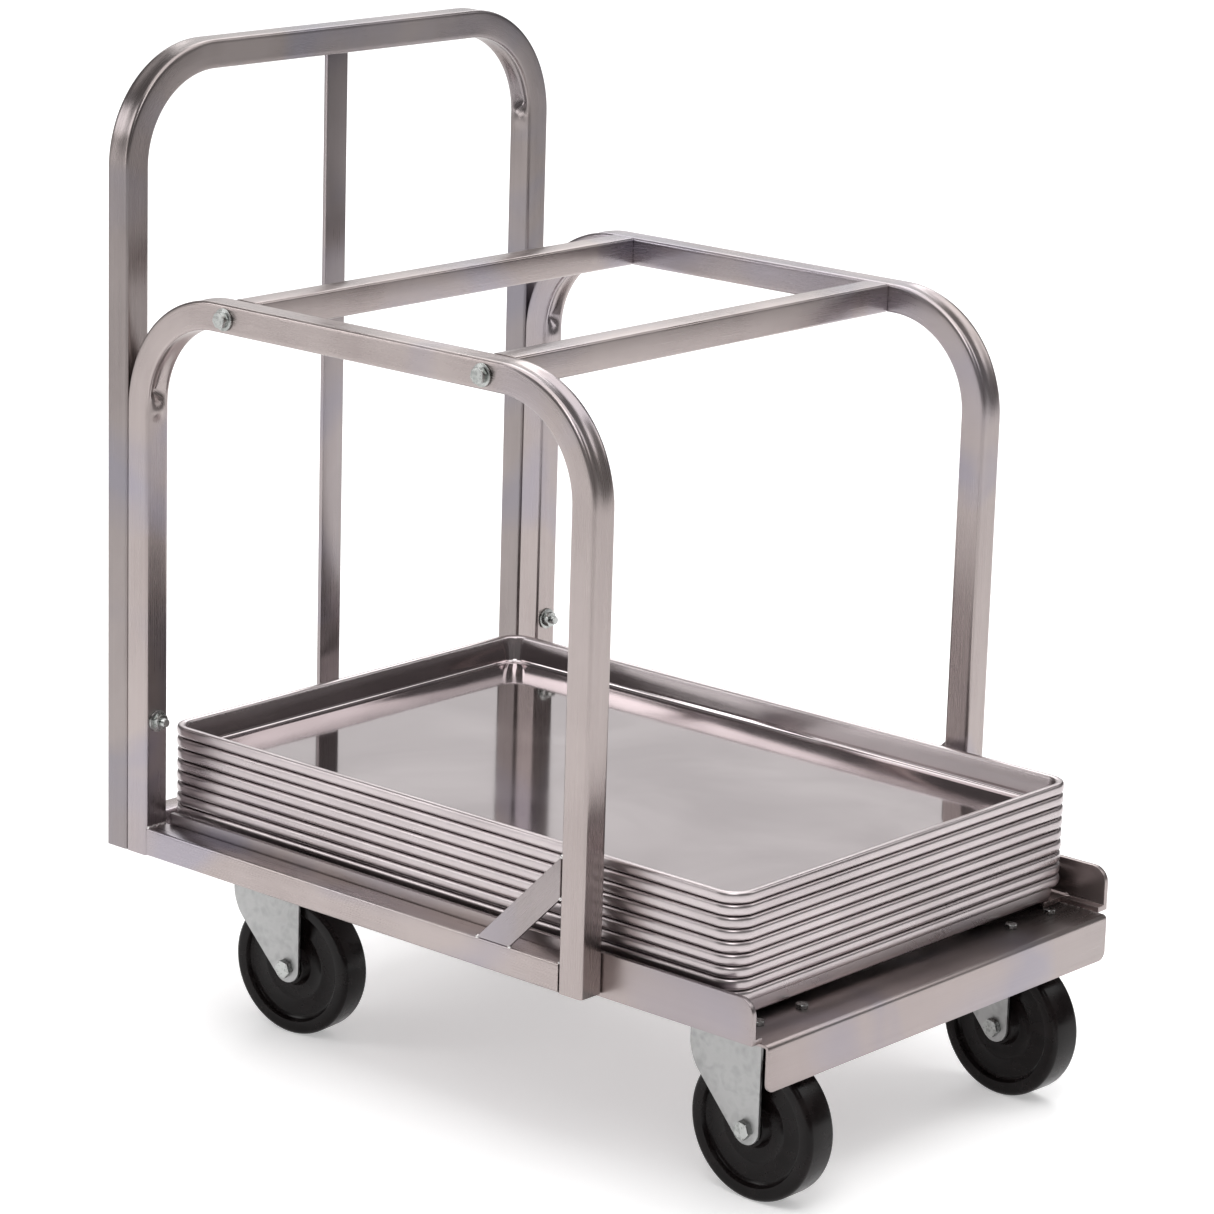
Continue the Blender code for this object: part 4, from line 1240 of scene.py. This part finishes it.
def fold_fork():
    eye = add_round("caster_fork", FORK_END_RADIUS, -FORK_OUTER, FORK_OUTER,
                    (AXLE_AHEAD, AXLE_HEIGHT), sides=48, axis="Y")
    crown = add_block("caster_crown", (FORK_REAR, -FORK_OUTER, AXLE_HEIGHT + CROWN_REAR_HEIGHT),
                      (FORK_FRONT, FORK_OUTER, CROWN_TOP))
    fork = join([eye, crown], "caster_fork")
    edit(fork)
    pick_all()
    bpy.ops.mesh.convex_hull()
    pick_all()
    bpy.ops.mesh.dissolve_limited(angle_limit=math.radians(0.5))
    pick("EDGE", lambda edge: runs_along(edge, 1) and near(middle_of(edge).x, FORK_REAR)
         and middle_of(edge).z < CROWN_TOP - 5 * MM)
    round_off(REAR_FOLD_RADIUS, 8)
    pick("EDGE", lambda edge: runs_along(edge, 0) and near(middle_of(edge).z, CROWN_TOP))
    round_off(CROWN_RADIUS, 6)
    object_mode()
    inner = FORK_OUTER - FORK_SHEET
    under = CROWN_TOP - FORK_SHEET
    room = add_block("caster_room", (FORK_REAR - BEYOND, -inner, -2 * BEYOND),
                     (FORK_FRONT + BEYOND, inner, under))
    edit(room, "EDGE")
    pick("EDGE", lambda edge: runs_along(edge, 0) and near(middle_of(edge).z, under))
    round_off(2.6 * MM, 4)
    object_mode()
    combine(fork, room, "DIFFERENCE")
    soften(fork, 0.35 * MM, segments=2, angle=40.0)
    raceway = add_round("caster_fork_race", FORK_RACE_RADIUS, CROWN_TOP - 0.5 * MM,
                        CROWN_TOP + 1.4 * MM, sides=48)
    soften(raceway, 1.2 * MM, segments=3)
    for piece in (fork, raceway):
        bore = add_round("caster_fork_bore", KINGPIN_BORE, CROWN_TOP - 10 * MM, CROWN_TOP + 10 * MM)
        combine(piece, bore, "DIFFERENCE")
    return join([fork, raceway], "caster_fork")


place_at_casters(fold_fork(), "fork", "swivel", zinc_steel, "zinc_steel")

# %% [markdown]
# ### Plate and ball race
#
# The plate is a block with rounded corners. Under it sits the dished race that holds the balls; its
# lower edge is rolled in, so it is a bevelled disc with a hollow pushed up into it.

# %% Plate and ball race
RACE_RADIUS = 33.0 * MM
PLATE_SHEET = 4.8 * MM
PLATE_CORNER = 8.0 * MM


def plate_with_race():
    middle = Vector(front_swivel["pos_m"])
    top = plate_high.z
    low = Vector((plate_low.x - middle.x, plate_low.y - middle.y, top - PLATE_SHEET))
    high = Vector((plate_high.x - middle.x, plate_high.y - middle.y, top))
    plate = add_block("caster_plate", low, high)
    edit(plate, "EDGE")
    pick("EDGE", lambda edge: runs_along(edge, 2))
    round_off(PLATE_CORNER, 8)
    object_mode()
    soften(plate, 0.6 * MM, segments=2)
    race = add_round("caster_race", RACE_RADIUS, plate_low.z, low.z, sides=64)
    edit(race)
    pick("FACE", lambda face: face.normal.z < -0.99)
    bpy.ops.mesh.inset(thickness=5.0 * MM, depth=0.0)
    bpy.ops.mesh.inset(thickness=1.5 * MM, depth=-2.0 * MM)
    pick("EDGE", lambda edge: near(middle_of(edge).z, plate_low.z)
         and Vector(middle_of(edge).xy).length > RACE_RADIUS * 0.97)
    round_off(2.6 * MM, 5)
    object_mode()
    soften(race, 0.3 * MM, segments=2)
    return join([plate, race], "caster_plate")


place_at_casters(plate_with_race(), "plate", None, zinc_steel, "zinc_steel", turned=False)

# %% [markdown]
# ### Axle bolt
#
# The axle bolt has a hex head on one side of the fork, and a nut and a little thread on the other.

# %% Axle bolt
AXLE_HEX = 14.3 * MM
AXLE_HEAD = AXLE_HEX * 0.42
AXLE_RADIUS = 4.75 * MM


def axle_bolt():
    face = FORK_OUTER + 0.3 * MM
    head = hex_head("axle_head", AXLE_HEX, face, face + AXLE_HEAD)
    head.data.transform(turn_by(math.radians(20.0), "Z"))
    head.data.transform(turn_by(math.pi, "X"))
    nut = hex_head("axle_nut", AXLE_HEX, face, face + AXLE_HEAD)
    tip = threaded_rod("axle_thread", AXLE_RADIUS, face + AXLE_HEAD, face + AXLE_HEAD * 1.5)
    shank = add_round("axle_shank", AXLE_RADIUS, -face, face, sides=32)
    bolt = join([head, nut, tip, shank], "caster_axle_bolt")
    put_along(bolt, (AXLE_AHEAD, 0.0, AXLE_HEIGHT), (0.0, 1.0, 0.0))
    smooth(bolt, 25.0)
    return bolt


place_at_casters(axle_bolt(), "axle_bolt", "swivel", bolt_zinc, "zinc_steel")

# %% [markdown]
# ### Hidden caster pieces
#
# The kingpins and the wheels' bushings are well inside the casters. Their mechanical shapes are
# right as they are, so those nodes stay and only get the zinc finish.

# %% Hidden caster pieces
for name in CASTERS:
    for suffix in ("kingpin", "bushing"):
        node = frame["nodes"][f"caster_{name}_{suffix}"]
        node.data.materials.clear()
        node.data.materials.append(zinc_steel)
print("kingpins and bushings keep their shape")

# %% [markdown]
# ### Mounting bolts
#
# Four small bolts hold each caster: a low hex head above the deck, and a nut below the plate. They
# were too small for the mechanical model, so they are new pieces that ride on the frame.

# %% Mounting bolts
MOUNT_SPACING_X = 85.0 * MM
MOUNT_SPACING_Y = 56.0 * MM
MOUNT_HEX = 10.0 * MM
MOUNT_HEAD = 4.0 * MM
MOUNT_RADIUS = 3.0 * MM


def mounting_bolt():
    """A bolt down through the deck and the plate; z = 0 is the top of the deck."""
    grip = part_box("front_deck_plate")[1].z - plate_high.z + PLATE_SHEET
    head = hex_head("mount_head", MOUNT_HEX, 0.3 * MM, MOUNT_HEAD)
    nut = hex_head("mount_nut", MOUNT_HEX, -grip - MOUNT_HEX * 0.5, -grip - 0.3 * MM,
                   chamfer_end=False)
    tip = threaded_rod("mount_thread", MOUNT_RADIUS, -grip - MOUNT_HEX * 0.5 - 3.0 * MM,
                       -grip - MOUNT_HEX * 0.5)
    return join([head, nut, tip], "mounting_bolt")


mount_pattern = mounting_bolt()
deck_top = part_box("front_deck_plate")[1].z
for name in CASTERS:
    swivel = Vector(joints[f"caster_{name}_swivel_turn"]["pos_m"])
    bolts = []
    for i, j in ((-1, -1), (1, -1), (1, 1), (-1, 1)):
        place = Matrix.Translation((swivel.x + i * MOUNT_SPACING_X / 2,
                                    swivel.y + j * MOUNT_SPACING_Y / 2, deck_top))
        spin = turn_by(math.pi / 6 + turns.uniform(-0.15, 0.15), "Z")
        bolts.append(copy_of(mount_pattern, f"mount_{name}_{len(bolts)}", place @ spin))
    ready(join(bolts, f"caster_{name}_mounting_bolts"), "frame", bolt_zinc, "bolt_zinc")
discard(mount_pattern)
print("mounting bolts: 16")

# %% [markdown]
# ## Weld beads
#
# Each joint of the frame is welded, and most beads are ground flush outside, so that only their
# ends show as small bright buttons in the corners. A bead is a thin cylinder along the joint, cut
# into short rings; a formula swells each ring into a ripple and tapers the two ends.

# %% Weld beads
BEAD_RADIUS = 2.0 * MM
RIPPLE = 1.3 * MM


def weld_bead(start, end, radius=BEAD_RADIUS):
    start, end = Vector(start), Vector(end)
    length = (end - start).length
    rings = max(int(length / RIPPLE * 3), 6)
    piece = add_round("bead", radius, 0.0, length, sides=10)
    edit(piece)
    for i in range(1, rings):
        cut_across((0.0, 0.0, length * i / rings), UP)
    object_mode()
    for vertex in piece.data.vertices:
        along = vertex.co.z
        ripple = 0.88 + 0.14 * abs(math.sin(math.pi * along / RIPPLE))
        ends = math.sqrt(max(1.0 - max(1.0 - min(along, length - along) / radius, 0.0) ** 2, 0.02))
        wander = 0.12 * math.sin(along * 900.0 + start.x * 700.0)
        vertex.co.x *= ripple * ends * (1.0 + wander)
        vertex.co.y *= ripple * ends * (1.0 - wander)
    put_along(piece, start, end - start)
    smooth(piece, 60.0)
    return piece


def side_beads(side_name, side):
    """Beads of one side hoop: rail to legs, and brace to rail and leg."""
    rail_low, rail_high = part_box("bottom_rail_" + side_name)
    brace_low, brace_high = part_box("brace_" + side_name)
    inner, outer = (rail_high.y, rail_low.y) if side < 0 else (rail_low.y, rail_high.y)
    inner += side * 2.0 * MM
    outer -= side * 1.0 * MM
    beads = [weld_bead((x, inner, rail_high.z), (x, outer, rail_high.z), 1.7 * MM)
             for x in (rail_low.x, rail_high.x)]
    far = brace_high.x - brace_low.x
    foot = far - BRACE_WIDTH * math.sqrt(2)
    thick = (brace_low.y - 0.4 * MM, brace_high.y + 0.4 * MM)
    for reach in (foot, far):
        beads.append(weld_bead((brace_high.x - reach, thick[0], brace_low.z),
                               (brace_high.x - reach, thick[1], brace_low.z), 2.2 * MM))
        beads.append(weld_bead((brace_high.x, thick[0], brace_low.z + reach),
                               (brace_high.x, thick[1], brace_low.z + reach), 2.2 * MM))
    return beads


beads = []
for side_name, side in SIDES.items():
    beads += side_beads(side_name, side)

bar_low, bar_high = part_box("handle_center_bar")
cross_low, cross_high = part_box("rear_cross_tube")
for x in (bar_low.x, bar_high.x):
    for z in (bar_low.z, bar_high.z):
        beads.append(weld_bead((x, bar_low.y, z), (x, bar_high.y, z), 1.6 * MM))
for y in (cross_low.y, cross_high.y):
    beads.append(weld_bead((cross_low.x + 2 * MM, y, cross_high.z),
                           (cross_high.x - 2 * MM, y, cross_high.z), 1.7 * MM))
    beads.append(weld_bead((cross_high.x, y, cross_low.z + 2 * MM),
                           (cross_high.x, y, cross_high.z - 2 * MM), 1.7 * MM))
for node in ("front_deck_plate", "rear_deck_plate", "center_support"):
    plate_corner, other_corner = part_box(node)
    end = min(other_corner.x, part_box("side_angle_right")[1].x)
    for y in (plate_corner.y, other_corner.y):
        beads.append(weld_bead((plate_corner.x + 6 * MM, y, deck_top),
                               (end - 6 * MM, y, deck_top), 1.6 * MM))
welds = join(beads, "weld_beads")
ready(welds, "frame", weld_aluminium, "tube_aluminium")
print("weld beads:", len(beads))

# %% [markdown]
# ## Floor and light
#
# A wide pale floor fills the whole view, because the camera looks down. A large soft light from
# above and one behind make the floor bright. Smaller ones from the left and in front shape the tubes
# and light the parts of the floor that the metal mirrors, and a dim world keeps shaded sides grey.

# %% Floor and light
bpy.ops.object.select_all(action="DESELECT")
bpy.ops.mesh.primitive_plane_add(size=60.0, location=(0.0, 0.0, 0.0))
floor = settle("studio_floor")
floor_material, floor_shader = new_finish("studio_floor", 0.0, (0.90, 0.90, 0.90), 0.9)
floor_shader.inputs["Emission Color"].default_value = (1.0, 1.0, 1.0, 1.0)
floor_shader.inputs["Emission Strength"].default_value = 0.38
floor.data.materials.append(floor_material)


def soft_light(name, place, target, width, height, power):
    bpy.ops.object.select_all(action="DESELECT")
    bpy.ops.object.light_add(type="AREA", location=place)
    light = bpy.context.object
    light.name = name
    light.rotation_euler = (Vector(target) - Vector(place)).to_track_quat("-Z", "Y").to_euler()
    light.data.shape = "RECTANGLE"
    light.data.size = width
    light.data.size_y = height
    light.data.energy = power
    return light


soft_light("overhead_light", (-0.2, 0.2, 4.0), (-0.2, 0.2, 0.0), 5.0, 5.0, 160.0)
soft_light("backdrop_light", (-5.5, 6.5, 6.0), (-5.5, 6.5, 0.0), 6.0, 6.0, 380.0)
soft_light("key_light", (-2.5, -2.3, 2.1), (0.0, 0.0, 0.5), 1.3, 1.1, 16.0)
soft_light("edge_light", (-2.2, -2.6, 0.9), (0.0, 0.0, 0.4), 0.25, 0.9, 3.0)
soft_light("low_light", (-2.9, -3.3, 0.75), (0.0, 0.0, 0.3), 4.5, 1.1, 9.0)
soft_light("rear_light", (-3.6, 4.0, 1.9), (0.0, 0.0, 0.3), 5.0, 2.2, 24.0)
soft_light("side_light", (2.2, 2.4, 2.6), (1.5, 1.7, 0.0), 1.8, 1.8, 20.0)
soft_light("front_light", (1.5, -1.8, 2.8), (0.6, -0.7, 0.0), 1.5, 1.5, 24.0)

world = bpy.data.worlds.new("studio_world")
world.use_nodes = True
world.node_tree.nodes["Background"].inputs["Color"].default_value = (1.0, 0.97, 0.97, 1.0)
world.node_tree.nodes["Background"].inputs["Strength"].default_value = 0.19
bpy.context.scene.world = world
bpy.context.scene.view_settings.view_transform = "Standard"
